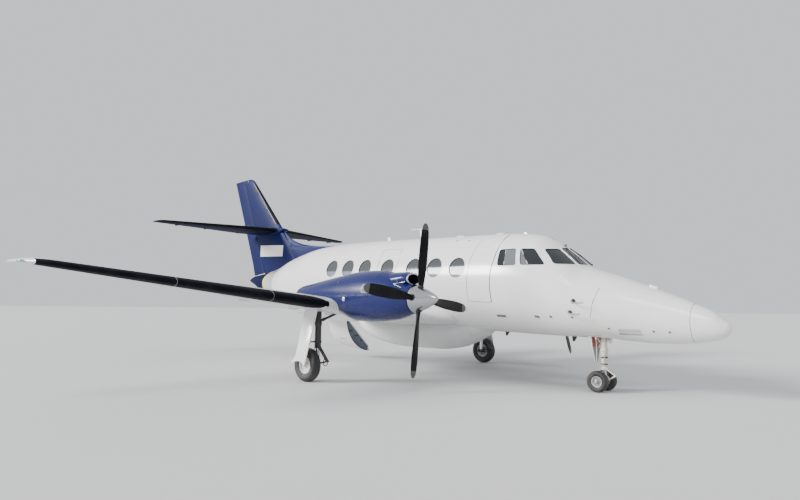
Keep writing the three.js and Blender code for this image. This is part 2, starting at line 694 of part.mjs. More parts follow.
placePair('aileron', cut(controlSurface(wingRows, aileron.from, aileron.to, aileronHinge, wingOptions),
  ...aileronBores), 'white');

// Nacelle, engine and propeller, port side
const wingTool = join(foilSolid(wingRows, wingRoot, 7600, { ...wingOptions, grow: seat }),
  foilSolid(gloveRows, 420, 2150, { grow: seat }));
function oval(halfWidth, halfHeight, z, from, to, sides = 12) {
  // Oval bar along the nacelle
  const rows = [from, to].map((s) => ({ s, top: z + halfHeight, bottom: z - halfHeight, half: halfWidth }));
  return loft([from, to].map((s) => hullRing(rows, s, { centreY: engineY, sides })), 'x');
}
const nacelleOptions = { centreY: engineY, sides: nacelleSides };
const shaftFrom = point(propeller.hubS - 40, engineY, thrustZ);
const shaftTo = point(4680, engineY, thrustZ);
const blockEnd = engineBlock.from + engineBlock.length;
const firewall = blockEnd + seat;
const [cowlFrom, cowlTo] = [nacelleStations[0], nacelleStations.at(-1)];
const [scoopFrom, scoopTo] = [scoopStations[0], scoopStations.at(-1)];
const nacelle = join(cut(
  join(hull(nacelleRows, nacelleStations, cowlFrom, cowlTo, nacelleOptions),
    hull(scoopRows, scoopStations, scoopFrom, scoopTo, nacelleOptions)),
  wingTool,
  oval(engineRoom.halfWidth, engineRoom.halfHeight, engineBlock.z, engineRoom.from, firewall),
  oval(mouth.halfWidth, mouth.halfHeight, mouth.z, 4300, mouth.to),
  oval(tailpipe.halfWidth, tailpipe.halfHeight, tailpipe.z, tailpipe.s, 7500),
), rod(shaftFrom, shaftTo, propeller.shaft, 24));
placePair('nacelle', nacelle, 'blue');
placePair('engine', oval(engineBlock.halfWidth, engineBlock.halfHeight, engineBlock.z, engineBlock.from,
  blockEnd), 'grey');

function bladeRing({ r, chord, depth, pitch }) {
  // Flat oval section at radius r, set at its pitch to the propeller's plane
  const sides = 8;
  return Array.from({ length: sides }, (_, i) => {
    const angle = (i / sides) * 2 * Math.PI;
    const across = (chord / 2) * Math.cos(angle);
    const through = (depth / 2) * Math.sin(angle);
    const turn = radians(pitch);
    return new THREE.Vector3(across * Math.sin(turn) + through * Math.cos(turn),
      across * Math.cos(turn) - through * Math.sin(turn), r);
  });
}

function blade(y, lean) {
  const turn = new THREE.Matrix4().makeRotationX(lean);
  const shift = new THREE.Matrix4().makeTranslation(xAt(propeller.hubS), y, thrustZ);
  const rings = bladeRows.map((row) => bladeRing(row).map((p) => p.applyMatrix4(turn).applyMatrix4(shift)));
  return loftFan(rings);
}

function loftFan(rings) {
  // Loft whose two ends close on the middle of their rings
  const count = rings[0].length;
  const middle = (ring) => ring.reduce((sum, p) => sum.add(p), new THREE.Vector3()).divideScalar(count);
  const points = [...rings.flat(), middle(rings[0]), middle(rings[rings.length - 1])];
  const positions = points.flatMap((p) => [p.x, p.y, p.z]);
  const triangles = [];
  const first = rings.length * count;
  for (let i = 0; i < count; i += 1) {
    const next = (i + 1) % count;
    for (let ring = 0; ring < rings.length - 1; ring += 1) {
      const a = ring * count + i;
      const b = ring * count + next;
      triangles.push(a, b, b + count, a, b + count, a + count);
    }
    const lastRing = (rings.length - 1) * count;
    triangles.push(next, i, first, lastRing + i, lastRing + next, first + 1);
  }
  return solid(closed(positions, triangles));
}

// Profile of a round piece from its (s, radius) rows, closed on its axis and measured from its rear end
const axialProfile = (rows, from, to) => [[from, 0], ...rows, [to, 0]].map(([s, r]) => [r, s - to]);
const spinnerProfile = axialProfile(spinnerRows, spinnerTip, spinnerEnd);
const hubProfile = axialProfile(hubRows, hubRows[0][0], hubEnd);

function propellerSolid(y, lean) {
  // Both propellers turn the same way, so neither is the mirror of the other
  const spread = (2 * Math.PI) / propeller.blades;
  const blades = Array.from({ length: propeller.blades }, (_, i) => blade(y, lean + i * spread));
  const shaftBore = rod(point(propeller.hubS - 46, y, thrustZ), point(hubEnd + 10, y, thrustZ),
    propeller.bore, 24);
  return cut(join(turned(hubProfile, point(hubEnd, y, thrustZ), backwards, 20), ...blades), shaftBore);
}
const spinner = turned(spinnerProfile, point(spinnerEnd, engineY, thrustZ), backwards, 20);
placePair('spinner', spinner, 'polished');
place('propeller_left', geometryOf(propellerSolid(engineY, propeller.leanLeft)), 'black');
place('propeller_right', geometryOf(propellerSolid(-engineY, propeller.leanRight)), 'black');

// Fin, rudder, tailplane and elevator
const trailAt = (z) => rudderTrail.foot + ((rudderTrail.head - rudderTrail.foot) * (z - rudderFoot.z))
  / (rudderHead.z - rudderFoot.z);
const finDepthAt = (x, depth) => halfDepth(Math.min(Math.max(x, 0), 1), depth);
function finRing({ z, lead, depth }, end) {
  const chord = Math.max(trailAt(z) - lead, 500);
  const fractions = foilFractions.map((t) => (t * (end - lead)) / chord);
  const side = (sign) => fractions.map((x) => point(lead + x * chord, sign * finDepthAt(x, depth), z));
  return [...side(1).reverse(), ...side(-1).slice(1)];
}
const rudderNose = (z) => {
  const lead = straight(finRows, 'z', z, 'lead');
  const chord = trailAt(z) - lead;
  return finDepthAt((hingeSAt(z) - lead) / chord, straight(finRows, 'z', z, 'depth'));
};
// Above this height the rudder's nose keeps its size
const finTopRow = 5380;
const finBlade = (grow) => loft(finRows.map((row) => {
  const end = hingeSAt(row.z) - rudderNose(Math.min(row.z, finTopRow)) - clearance;
  return finRing({ ...row, lead: row.lead - grow, depth: row.depth + 3 * grow }, end + grow);
}), 'z');
const dorsal = loft(dorsalRows.map((row) => {
  const reach = Math.min(600, 0.8 * (dorsalEnd - row.lead));
  const fractions = [1, 0.5, 0.2, 0.06];
  const sideY = (t) => 0.5 * row.depth * Math.sqrt(t);
  const side = (sign) => fractions.map((t) => point(row.lead + t * reach, sign * sideY(t), row.z));
  const end = (sign) => point(dorsalEnd, sign * 0.5 * row.depth, row.z);
  return [end(1), ...side(1), point(row.lead, 0, row.z), ...side(-1).reverse(), end(-1)];
}), 'z');
const finTool = fuselage(joints.entry - 500, joints.end, seat);
const elevatorHinge = point(elevator.hingeS, 0, tailplaneRows[0].z);
const elevatorPin = rod(point(elevator.hingeS, -(elevator.from + 30), elevatorHinge.z),
  point(elevator.hingeS, elevator.from + 30, elevatorHinge.z), 12);
const finSolid = join(cut(join(finBlade(0), dorsal), finTool), elevatorPin);
place('fin', geometryOf(finSolid), 'blue');

const rudderRing = (z) => {
  const hinge = point(hingeSAt(z), 0, z);
  const radius = rudderNose(Math.min(z, finTopRow));
  const nose = [0.75, 0.5, 0.25].map((t) => {
    const angle = (t - 0.5) * Math.PI;
    return new THREE.Vector3(hinge.x + radius * Math.cos(angle), radius * Math.sin(angle), z);
  });
  const tail = xAt(trailAt(z));
  const tailZ = z === rudderFoot.z ? z - rudderTrail.drop : z;
  return [new THREE.Vector3(tail, 4, tailZ), new THREE.Vector3(hinge.x, radius, z), ...nose,
    new THREE.Vector3(hinge.x, -radius, z), new THREE.Vector3(tail, -4, tailZ)];
};
const rudderBore = rod(point(hingeSAt(2400), 0, 2400), point(hingeSAt(2500), 0, 2500), 15);
place('rudder', geometryOf(cut(loft([rudderFoot.z, rudderHead.z].map(rudderRing), 'z'), rudderBore)), 'blue');

const elevatorFraction = (y) => {
  const { lead, chord } = foilAt(tailplaneRows, y);
  return (elevator.hingeS - lead) / chord;
};
const elevatorBay = controlBay(tailplaneRows, -50, elevator.to + clearance, elevatorFraction, clearance);
const rootCut = (gap) => {
  const slope = Math.tan(radians(elevator.rootAngle));
  const start = elevator.from - gap;
  const ahead = elevator.hingeS - 120;
  const behind = elevator.hingeS + 800;
  return loft([3400, 3900].map((z) => [point(ahead, -60, z), point(ahead, start, z),
    point(elevator.hingeS, start, z), point(behind, start + 800 * slope, z), point(behind, -60, z)]), 'z');
};
const finShadow = finBlade(seat);
const tailplane = cut(foilSolid(tailplaneRows, 0, 3300, {}), elevatorBay, finShadow);
placePair('tailplane', tailplane, 'white');
const elevatorBore = rod(point(elevator.hingeS, 40, elevatorHinge.z),
  point(elevator.hingeS, elevator.from + 36, elevatorHinge.z), 12.8);
const elevatorHalf = controlSurface(tailplaneRows, 60, elevator.to, elevatorFraction);
placePair('elevator', cut(elevatorHalf, rootCut(0), elevatorBore), 'white');

const ventralOutline = [[11850, 1900], [12600, 2050], [12920, 2080], [12950, 1990], [12300, 1700]];
place('ventral_fin', geometryOf(cut(prismY(ventralOutline, -20, 20), finTool)), 'blue');

// Cockpit furniture
const panel = join(
  block(panelBoard.from, panelBoard.to, -panelBoard.half, panelBoard.half, panelBoard.bottom, panelBoard.top),
  block(pedestal.from, pedestal.to, -pedestal.half, pedestal.half, cockpitFloor + seat, pedestal.top),
);
place('instrument_panel', geometryOf(panel), 'grey');
placePair('pilot_seat', join(...seatParts.map(
  ([from, to, half, low, high]) => block(from, to, seatY - half, seatY + half, low, high))), 'grey');

// Main gear, port side
const { legS, legY, housing, piston, footHalf, sideStay } = mainGear;
const legPoint = (z) => point(legS, legY, z);
const wheelCentre = point(mainGear.s, mainGear.wheelY, mainGear.tyre);
const innerEnd = point(mainGear.s, legY, mainGear.tyre);
const outerEnd = point(mainGear.s, mainGear.wheelY + mainGear.axleReach, mainGear.tyre);
const wingUnderside = foilSolid(wingRows, wingRoot, 7600, { ...wingOptions, grow: seat });
const link = (a, b, y, half, thick) => prismY(barOutline(a, b, thick, 0), y - half, y + half);
const knee = [torqueLink.kneeS, torqueLink.kneeZ];
const mainLeg = join(
  cut(rod(legPoint(housing.from), legPoint(housing.to), housing.radius, 20), wingUnderside),
  rod(legPoint(mainGear.tyre - footHalf), legPoint(piston.to), piston.radius, 20),
  block(legS - 50, mainGear.s + 44, legY - 44, legY + 44, mainGear.tyre - footHalf, mainGear.tyre + footHalf),
  rod(innerEnd, outerEnd, mainGear.axle, 20),
  link([legS - 20, torqueLink.from], knee, legY, torqueLink.upper, torqueLink.half),
  link(knee, [legS - 10, mainGear.tyre], legY, torqueLink.lower, torqueLink.half),
  rod(point(knee[0], legY - torqueLink.pinReach, knee[1]),
    point(knee[0], legY + torqueLink.pinReach, knee[1]), torqueLink.pin, 12),
  cut(rod(legPoint(sideStay.from), point(legS - sideStay.forward, legY - sideStay.inboard, sideStay.to),
    sideStay.radius, 12), wingUnderside),
);
placePair('main_leg', mainLeg, 'cream');

function wheel(tyre, width, bore, centre, sides) {
  // The tyre stands on one of its flats, so its corners reach a little past its radius
  const turn = Math.PI / sides;
  return turned(wheelProfile(tyre / Math.cos(turn), width, bore), centre, sideways, sides, turn);
}

function wheelProfile(radius, width, bore) {
  const half = width / 2;
  const rim = radius * 0.52;
  return [[bore, -half * 0.6], [rim, -half * 0.7], [radius * 0.82, -half], [radius, -half * 0.45],
    [radius, half * 0.45], [radius * 0.82, half], [rim, half * 0.7], [bore, half * 0.6], [bore, -half * 0.6]];
}

placePair('main_wheel', wheel(mainGear.tyre, mainGear.width, mainGear.bore, wheelCentre, 24), 'rubber');

// The leg door leans outwards from its hinge line to its foot
const { top: doorTop, bottom: doorFoot, struts } = legDoor;
const doorYAt = (z) => doorTop.y + ((doorTop.z - z) / (doorTop.z - doorFoot.z)) * (doorFoot.y - doorTop.y);
const legPanel = cut(loft([0, legDoor.thickness].map((over) => legDoor.outline.map(
  ([s, z]) => point(s, doorYAt(z) + over, z))), 'y'), wingUnderside);
const housingRoom = rod(legPoint(housing.from - 40), legPoint(housing.to), housing.radius + seat, 20);
const doorStruts = struts.heights.map((z) => cut(
  rod(point(legS, legY + 30, z), point(struts.s, doorYAt(z) + 4, z), struts.radius, 12), housingRoom));
placePair('leg_door', join(legPanel, ...doorStruts), 'white');

// Nose gear: fixed upper leg, steered lower leg, twin wheels and two doors
const noseLegS = noseGear.legS;
const nosePoint = (z, y = 0) => point(noseLegS, y, z);
const { upper, collar, crossRod, brace, lower, foot, links } = noseGear;
const noseLeg = cut(join(
  rod(nosePoint(upper.from), nosePoint(noseWell.roof - seat), upper.radius, 20),
  rod(nosePoint(collar.from), nosePoint(collar.to), collar.radius, 20),
  rod(nosePoint(crossRod.z, seat - noseWell.half), nosePoint(crossRod.z, noseWell.half - seat),
    crossRod.radius, 12),
  rod(nosePoint(brace.from), point(noseWell.to - brace.gap, 0, noseWell.roof - 30), brace.radius, 12),
), rod(nosePoint(400), nosePoint(lower.to + seat), lower.bore, 20));
place('nose_leg', geometryOf(noseLeg), 'cream');
const noseKnee = [noseLegS - links.forward, links.z];
const noseAxle = (side) => point(noseGear.s, side * (noseGear.wheelY + noseGear.axleReach), noseGear.tyre);
const noseFork = join(
  rod(nosePoint(lower.from), nosePoint(lower.to), lower.radius, 20),
  block(noseLegS - 40, noseGear.s + 36, -foot.half, foot.half, foot.from, foot.to),
  rod(noseAxle(-1), noseAxle(1), noseGear.axle, 20),
  link([noseLegS - 30, 400], noseKnee, 0, links.half, links.thick),
  link(noseKnee, [noseLegS - 20, 190], 0, links.half, links.thick),
  rod(nosePoint(links.collarFrom), nosePoint(links.collarTo), links.collar, 20),
);
place('nose_fork', geometryOf(noseFork), 'cream');
placePair('nose_wheel', wheel(noseGear.tyre, noseGear.width, noseGear.bore,
  point(noseGear.s, noseGear.wheelY, noseGear.tyre), 20), 'rubber');
placePair('nose_door', prismX(noseDoor.outline, noseDoor.s, noseDoor.s + noseDoor.thickness), 'white');

export default group;
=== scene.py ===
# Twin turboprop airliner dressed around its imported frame.
# Metres, +X towards the nose, +Y to port, ground at z = 0.
import math

import bmesh
import bpy
from mathutils import Matrix, Vector


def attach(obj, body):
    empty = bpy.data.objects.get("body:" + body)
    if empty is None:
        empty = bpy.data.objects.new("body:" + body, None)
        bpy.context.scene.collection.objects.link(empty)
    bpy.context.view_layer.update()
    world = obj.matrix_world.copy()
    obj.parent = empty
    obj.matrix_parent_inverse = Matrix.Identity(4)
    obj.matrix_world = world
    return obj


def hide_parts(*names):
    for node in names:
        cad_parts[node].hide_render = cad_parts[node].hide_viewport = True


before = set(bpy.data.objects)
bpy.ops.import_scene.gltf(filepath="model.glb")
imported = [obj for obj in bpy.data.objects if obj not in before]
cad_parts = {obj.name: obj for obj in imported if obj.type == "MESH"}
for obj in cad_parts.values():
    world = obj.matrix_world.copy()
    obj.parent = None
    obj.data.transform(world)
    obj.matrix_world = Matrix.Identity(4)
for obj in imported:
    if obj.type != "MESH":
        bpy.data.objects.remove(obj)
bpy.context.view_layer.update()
noseX = 7.185  # x of the nose tip; every station s is metres aft of it


def at(s, y, z):
    return Vector((noseX - s, y, z))


# Selecting, editing and finishing
def pickOnly(piece):
    bpy.ops.object.select_all(action="DESELECT")
    piece.select_set(True)
    bpy.context.view_layer.objects.active = piece


def startEdit(piece, everything=True):
    pickOnly(piece)
    bpy.ops.object.mode_set(mode="EDIT")
    bpy.ops.mesh.select_all(action="SELECT" if everything else "DESELECT")


def endEdit():
    bpy.ops.object.mode_set(mode="OBJECT")


def modify(piece, kind, **settings):
    pickOnly(piece)
    bpy.ops.object.modifier_add(type=kind)
    modifier = piece.modifiers[-1]
    for setting, value in settings.items():
        setattr(modifier, setting, value)
    bpy.ops.object.modifier_apply(modifier=modifier.name)
    return piece


def eased(piece, width, segments=2):
    # edges rounded where faces meet at an angle
    return modify(piece, "BEVEL", width=width, segments=segments, limit_method="ANGLE")


def turnOutwards(piece):
    # closed shapes with a negative volume are inside out
    shape = bmesh.new()
    shape.from_mesh(piece.data)
    insideOut = shape.calc_volume(signed=True) < 0
    shape.free()
    if insideOut:
        startEdit(piece)
        bpy.ops.mesh.flip_normals()
        endEdit()
    return piece


def settle(piece):
    pickOnly(piece)
    bpy.ops.object.transform_apply(location=True, rotation=True, scale=True)
    return piece


def joined(pieces):
    bpy.ops.object.select_all(action="DESELECT")
    for piece in pieces:
        piece.select_set(True)
    bpy.context.view_layer.objects.active = pieces[0]
    bpy.ops.object.join()
    return bpy.context.object


def copyOf(piece):
    pickOnly(piece)
    bpy.ops.object.duplicate()
    return bpy.context.object


def shifted(piece, way):
    settle(piece)
    piece.location = way
    return settle(piece)


def turned(piece, angle, axis, centre=(0, 0, 0)):
    # a real turn about a line, kept in the mesh
    middle = Vector(centre)
    turn = Matrix.Rotation(angle, 4, axis)
    piece.data.transform(Matrix.Translation(middle) @ turn @ Matrix.Translation(-middle))
    return piece


def twinOf(piece):
    # the same piece on the other side of the aircraft
    twin = copyOf(piece)
    twin.scale.y = -1
    return turnOutwards(settle(twin))


def carve(piece, tools, operation="DIFFERENCE"):
    for tool in tools:
        modify(piece, "BOOLEAN", operation=operation, solver="EXACT", object=tool)
        bpy.data.objects.remove(tool)
    return piece


def finished(piece, name, body, material, replaced=(), smooth=32):
    settle(piece)
    piece.name = name
    piece.data.name = name
    if material is not None:
        piece.data.materials.clear()
        piece.data.materials.append(material)
    if smooth:
        bpy.ops.object.shade_smooth_by_angle(angle=math.radians(smooth))
    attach(piece, body)
    if replaced:
        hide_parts(*replaced)
    return piece


def fixed(piece, name, material, replaced=(), smooth=32):
    # a finished piece that rides on the airframe
    return finished(piece, name, "airframe", material, replaced, smooth)


def paintWhere(piece, material, test):
    # faces whose middle passes the test take a second material
    piece.data.materials.append(material)
    number = len(piece.data.materials) - 1
    for face in piece.data.polygons:
        if test(face.center, face.normal):
            face.material_index = number
    return piece


# Shapes
def pulledRings(rings, closeEnds=True):
    # one ring, pulled from section to section as with extrude and move in edit mode
    bpy.ops.mesh.primitive_circle_add(vertices=len(rings[0]), radius=1)
    piece = bpy.context.object
    startEdit(piece)
    for number, ring in enumerate(rings):
        if number:
            bpy.ops.mesh.extrude_edges_move()
        shape = bmesh.from_edit_mesh(piece.data)
        for vertex, place in zip([v for v in shape.verts if v.select], ring):
            vertex.co = place
    bmesh.update_edit_mesh(piece.data)
    if closeEnds:
        bpy.ops.mesh.select_all(action="DESELECT")
        bpy.ops.mesh.select_non_manifold()
        bpy.ops.mesh.edge_face_add() if len(rings) == 1 else bpy.ops.mesh.fill_holes(sides=0)
        bpy.ops.mesh.select_all(action="SELECT")
        bpy.ops.mesh.normals_make_consistent(inside=False)
    endEdit()
    return turnOutwards(piece) if closeEnds else piece


def prism(outline, axis, start, end, corner=0, segments=5):
    # flat outline with rounded corners, extruded along an axis
    # outline pairs are (s, z) along y, (y, z) along x and (s, y) along z
    place = {"y": lambda a, b: at(a, start, b), "x": lambda a, b: at(start, a, b),
             "z": lambda a, b: at(a, b, start)}[axis]
    way = {"y": (0, end - start, 0), "x": (start - end, 0, 0), "z": (0, 0, end - start)}[axis]
    bpy.ops.mesh.primitive_circle_add(vertices=len(outline), radius=1, fill_type="NGON")
    piece = bpy.context.object
    for vertex, pair in zip(piece.data.vertices, outline):
        vertex.co = place(*pair)
    piece.location = (0, 0, 0)
    startEdit(piece)
    if corner:
        bpy.ops.mesh.bevel(offset=corner, offset_type="OFFSET", segments=segments, affect="VERTICES")
    bpy.ops.mesh.select_all(action="SELECT")
    bpy.ops.mesh.extrude_region_move(TRANSFORM_OT_translate={"value": way})
    bpy.ops.mesh.select_all(action="SELECT")
    bpy.ops.mesh.normals_make_consistent(inside=False)
    endEdit()
    return piece


def grown(outline, distance):
    # every corner of the outline moves away from its middle
    middle = sum((Vector(pair) for pair in outline), Vector((0, 0))) / len(outline)
    return [middle + (Vector(pair) - middle) * (1 + distance / (Vector(pair) - middle).length)
            for pair in outline]


def ovalRod(s, z, width, height, yFrom, yTo, sides=48):
    bpy.ops.mesh.primitive_cylinder_add(vertices=sides, radius=.5, depth=1,
                                        location=at(s, (yFrom + yTo) / 2, z),
                                        rotation=(math.pi / 2, 0, 0))
    piece = bpy.context.object
    piece.scale = (width, height, abs(yTo - yFrom))
    return settle(piece)


def bar(start, end, radius, sides=24, endRadius=None, edge=.12):
    # round bar between two points, with eased ends
    start, end = Vector(start), Vector(end)
    way = end - start
    bpy.ops.mesh.primitive_cone_add(vertices=sides, radius1=radius,
                                    radius2=radius if endRadius is None else endRadius,
                                    depth=way.length, location=(start + end) / 2,
                                    rotation=way.to_track_quat("Z", "Y").to_euler())
    piece = settle(bpy.context.object)
    if edge:
        eased(piece, min(radius * edge, way.length / 4))
    return piece


def slab(low, high, edge=.004, segments=2):
    # box from corner to corner, with rounded edges
    low, high = Vector(low), Vector(high)
    bpy.ops.mesh.primitive_cube_add(size=1, location=(low + high) / 2)
    piece = bpy.context.object
    piece.scale = [abs(span) for span in high - low]
    settle(piece)
    if edge:
        eased(piece, edge, segments)
    return piece


def spunRing(profile, centre, axis="Y", steps=64):
    # closed (radius, along) outline spun once round an axis through centre
    bpy.ops.mesh.primitive_circle_add(vertices=len(profile), radius=1)
    piece = bpy.context.object
    aims = {"X": (1, 0, 0), "Y": (0, 1, 0), "Z": (0, 0, 1)}
    along = Vector(aims[axis])
    out = Vector((0, 0, 1)) if axis != "Z" else Vector((1, 0, 0))
    startEdit(piece)
    shape = bmesh.from_edit_mesh(piece.data)
    for vertex, (radius, shift) in zip(shape.verts, profile):
        vertex.co = Vector(centre) + out * radius + along * shift
    bmesh.update_edit_mesh(piece.data)
    bpy.ops.mesh.spin(steps=steps, angle=2 * math.pi, center=centre, axis=aims[axis])
    bpy.ops.mesh.select_all(action="SELECT")
    bpy.ops.mesh.remove_doubles(threshold=1e-5)
    bpy.ops.mesh.normals_make_consistent(inside=False)
    endEdit()
    return turnOutwards(piece)


def wire(points, radius, closed=False, resolution=1):
    # round wire or bead through points, turned into a mesh
    bpy.ops.curve.primitive_nurbs_path_add()
    line = bpy.context.object
    line.location = (0, 0, 0)
    line.data.splines.clear()
    run = line.data.splines.new("POLY")
    run.points.add(len(points) - 1)
    for knot, place in zip(run.points, points):
        knot.co = (*place, 1)
    run.use_cyclic_u = closed
    line.data.bevel_depth = radius
    line.data.bevel_resolution = resolution
    line.data.use_fill_caps = True
    pickOnly(line)
    bpy.ops.object.convert(target="MESH")
    return bpy.context.object


def bead(points, between=6):
    # more points along a smooth line through the given ones
    line = []
    for i in range(len(points) - 1):
        before, start, end, after = (Vector(points[max(0, min(len(points) - 1, k))])
                                     for k in (i - 1, i, i + 1, i + 2))
        for step in range(between):
            t = step / between
            line.append(.5 * (2 * start + (end - before) * t
                              + (2 * before - 5 * start + 4 * end - after) * t ** 2
                              + (3 * start - before - 3 * end + after) * t ** 3))
    return [*line, Vector(points[-1])]


def along(rows, place):
    # smooth values of a table at a place, with end slopes taken from the neighbours
    if place <= rows[0][0]:
        return rows[0][1:]
    if place >= rows[-1][0]:
        return rows[-1][1:]
    i = next(k for k, row in enumerate(rows) if row[0] > place) - 1
    span = rows[i + 1][0] - rows[i][0]
    t = (place - rows[i][0]) / span
    values = []
    for column in range(1, len(rows[0])):
        def slope(k):
            return (rows[k + 1][column] - rows[k][column]) / (rows[k + 1][0] - rows[k][0])

        def tangent(k):
            if k in (0, len(rows) - 1):
                return slope(min(k, len(rows) - 2))
            before, after = slope(k - 1), slope(k)
            return 0 if before * after <= 0 else 2 * before * after / (before + after)

        curve = (2 * t - 3) * t * t
        values.append(rows[i][column] * (1 + curve) - rows[i + 1][column] * curve
                      + span * t * (1 - t) * (tangent(i) * (1 - t) - tangent(i + 1) * t))
    return values


def stationsBetween(start, end, step):
    count = max(1, round((end - start) / step))
    return [start + (end - start) * k / count for k in range(count + 1)]


def hullRing(rows, s, sides, grow=0, centreY=0):
    top, bottom, half = along(rows, s)
    middle, high, wide = (top + bottom) / 2, (top - bottom) / 2 + grow, half + grow
    turns = [(k + .5) / sides * 2 * math.pi for k in range(sides)]
    return [at(s, centreY + wide * math.cos(turn), middle + high * math.sin(turn)) for turn in turns]


def hull(rows, start, end, step, sides, grow=0, centreY=0, extra=(), closeEnds=True):
    places = sorted({*stationsBetween(start, end, step), *(s for s in extra if start < s < end)})
    return pulledRings([hullRing(rows, s, sides, grow, centreY) for s in places], closeEnds)


def hullPoint(rows, s, turn, grow=0, centreY=0):
    top, bottom, half = along(rows, s)
    return at(s, centreY + (half + grow) * math.cos(turn),
              (top + bottom) / 2 + ((top - bottom) / 2 + grow) * math.sin(turn))


def sidePoint(rows, s, z, side, grow=0):
    # point of the fuselage side at height z; side is 1 to port and -1 to starboard
    top, bottom, half = along(rows, s)
    high = (2 * z - top - bottom) / (top - bottom)
    return at(s, side * ((half + grow) * math.sqrt(max(0, 1 - high * high))), z)


# Materials
def newMaterial(name, **values):
    material = bpy.data.materials.new(name)
    material.use_nodes = True
    shader = material.node_tree.nodes["Principled BSDF"]
    for socket, value in values.items():
        shader.inputs[socket].default_value = value
    return material


def addNode(tree, kind, wires=None, **settings):
    node = tree.nodes.new(kind)
    for setting, value in settings.items():
        setattr(node, setting, value)
    for socket, value in (wires or {}).items():
        if isinstance(value, bpy.types.NodeSocket):
            tree.links.new(value, node.inputs[socket])
        else:
            node.inputs[socket].default_value = value
    return node


def calc(tree, operation, first, second=0.0, clamp=False):
    return addNode(tree, "ShaderNodeMath", {0: first, 1: second}, operation=operation,
                   use_clamp=clamp).outputs[0]


def blendColor(tree, share, first, second):
    return addNode(tree, "ShaderNodeMix", {0: share, 6: first, 7: second}, data_type="RGBA").outputs[2]


def fadeStep(tree, value, low, high):
    # 0 below low, 1 above high, smooth between
    return addNode(tree, "ShaderNodeMapRange", {0: value, 1: low, 2: high},
                   interpolation_type="SMOOTHSTEP").outputs[0]


def newGroup(name, inputs, outputs):
    group = bpy.data.node_groups.new(name, "ShaderNodeTree")
    kinds = {"float": "NodeSocketFloat", "color": "NodeSocketColor", "vector": "NodeSocketVector"}
    for label, kind, value in inputs:
        socket = group.interface.new_socket(name=label, in_out="INPUT", socket_type=kinds[kind])
        if value is not None:
            socket.default_value = value
    for label, kind in outputs:
        group.interface.new_socket(name=label, in_out="OUTPUT", socket_type=kinds[kind])
    return group, group.nodes.new("NodeGroupInput").outputs, group.nodes.new("NodeGroupOutput").inputs


def useGroup(tree, group, wires):
    node = addNode(tree, "ShaderNodeGroup", node_tree=group)
    for socket, value in wires.items():
        if isinstance(value, bpy.types.NodeSocket):
            tree.links.new(value, node.inputs[socket])
        else:
            node.inputs[socket].default_value = value
    return node.outputs


def makeAirDirt():
    # long faint streaks and patches, as dust and exhaust leave on paint
    group, given, made = newGroup("airDirt", [
        ("Vector", "vector", None), ("Paint", "color", (.9, .9, .9, 1)),
        ("Dirt", "color", (.4, .38, .35, 1)),
        ("Amount", "float", .3), ("Patch Scale", "float", .6), ("Streak Scale", "float", 9.0),
        ("Gloss", "float", .2),
    ], [("Color", "color"), ("Roughness", "float")])
    stretched = addNode(group, "ShaderNodeVectorMath", {0: given["Vector"], 1: (.09, 1, 1)},
                        operation="MULTIPLY")
    streaks = addNode(group, "ShaderNodeTexNoise",
                      {"Vector": stretched.outputs[0], "Scale": given["Streak Scale"],
                       "Detail": 4.0, "Roughness": .6})
    patches = addNode(group, "ShaderNodeTexNoise",
                      {"Vector": given["Vector"], "Scale": given["Patch Scale"],
                       "Detail": 5.0, "Roughness": .55})
    streak = fadeStep(group, streaks.outputs[0], .48, .78)
    patch = fadeStep(group, patches.outputs[0], .35, .75)
    share = calc(group, "MULTIPLY", calc(group, "ADD", calc(group, "MULTIPLY", streak, patch),
                                         calc(group, "MULTIPLY", patch, .35)), given["Amount"], True)
    group.links.new(blendColor(group, share, given["Paint"], given["Dirt"]), made["Color"])
    rough = calc(group, "ADD", given["Gloss"], calc(group, "MULTIPLY", share, .55), True)
    group.links.new(rough, made["Roughness"])
    return group


def makeSheetSeams():
    # frame joints across the body with a row of rivets beside each, as a height and a line mask
    group, given, made = newGroup("sheetSeams", [
        ("Vector", "vector", None), ("Spacing", "float", .6), ("Rivet Pitch", "float", .05),
        ("Line Width", "float", .003),
    ], [("Height", "float"), ("Line", "float")])
    parts = addNode(group, "ShaderNodeSeparateXYZ", {0: given["Vector"]}).outputs
    half = calc(group, "MULTIPLY", given["Spacing"], .5)
    across = calc(group, "PINGPONG", parts[0], half)
    line = calc(group, "SUBTRACT", 1.0,
                fadeStep(group, calc(group, "DIVIDE", across, given["Line Width"]), .3, 1.0))
    around = calc(group, "ARCTAN2", calc(group, "SUBTRACT", parts[2], 2.0), parts[1])
    rivetAcross = calc(group, "ABSOLUTE", calc(group, "SUBTRACT", across, .022))
    rivetAround = calc(group, "PINGPONG", around, calc(group, "MULTIPLY", given["Rivet Pitch"], .5))
    spot = calc(group, "SQRT", calc(group, "ADD", calc(group, "MULTIPLY", rivetAcross, rivetAcross),
                                    calc(group, "MULTIPLY", rivetAround, rivetAround)))
    rivet = calc(group, "SUBTRACT", 1.0, fadeStep(group, spot, .0025, .005))
    group.links.new(calc(group, "SUBTRACT", calc(group, "MULTIPLY", rivet, .25), line), made["Height"])
    group.links.new(line, made["Line"])
    return group


def makeWornSpots():
    # chips and scratches as a mask
    group, given, made = newGroup("wornSpots", [
        ("Vector", "vector", None), ("Scale", "float", 30.0), ("Amount", "float", .3),
    ], [("Mask", "float"), ("Height", "float")])
    grain = addNode(group, "ShaderNodeTexNoise", {"Vector": given["Vector"], "Scale": given["Scale"],
                                                  "Detail": 8.0, "Roughness": .7})
    level = calc(group, "SUBTRACT", .78, calc(group, "MULTIPLY", given["Amount"], .35))
    mask = fadeStep(group, calc(group, "DIVIDE", grain.outputs[0], level), .97, 1.06)
    group.links.new(mask, made["Mask"])
    group.links.new(grain.outputs[0], made["Height"])
    return group


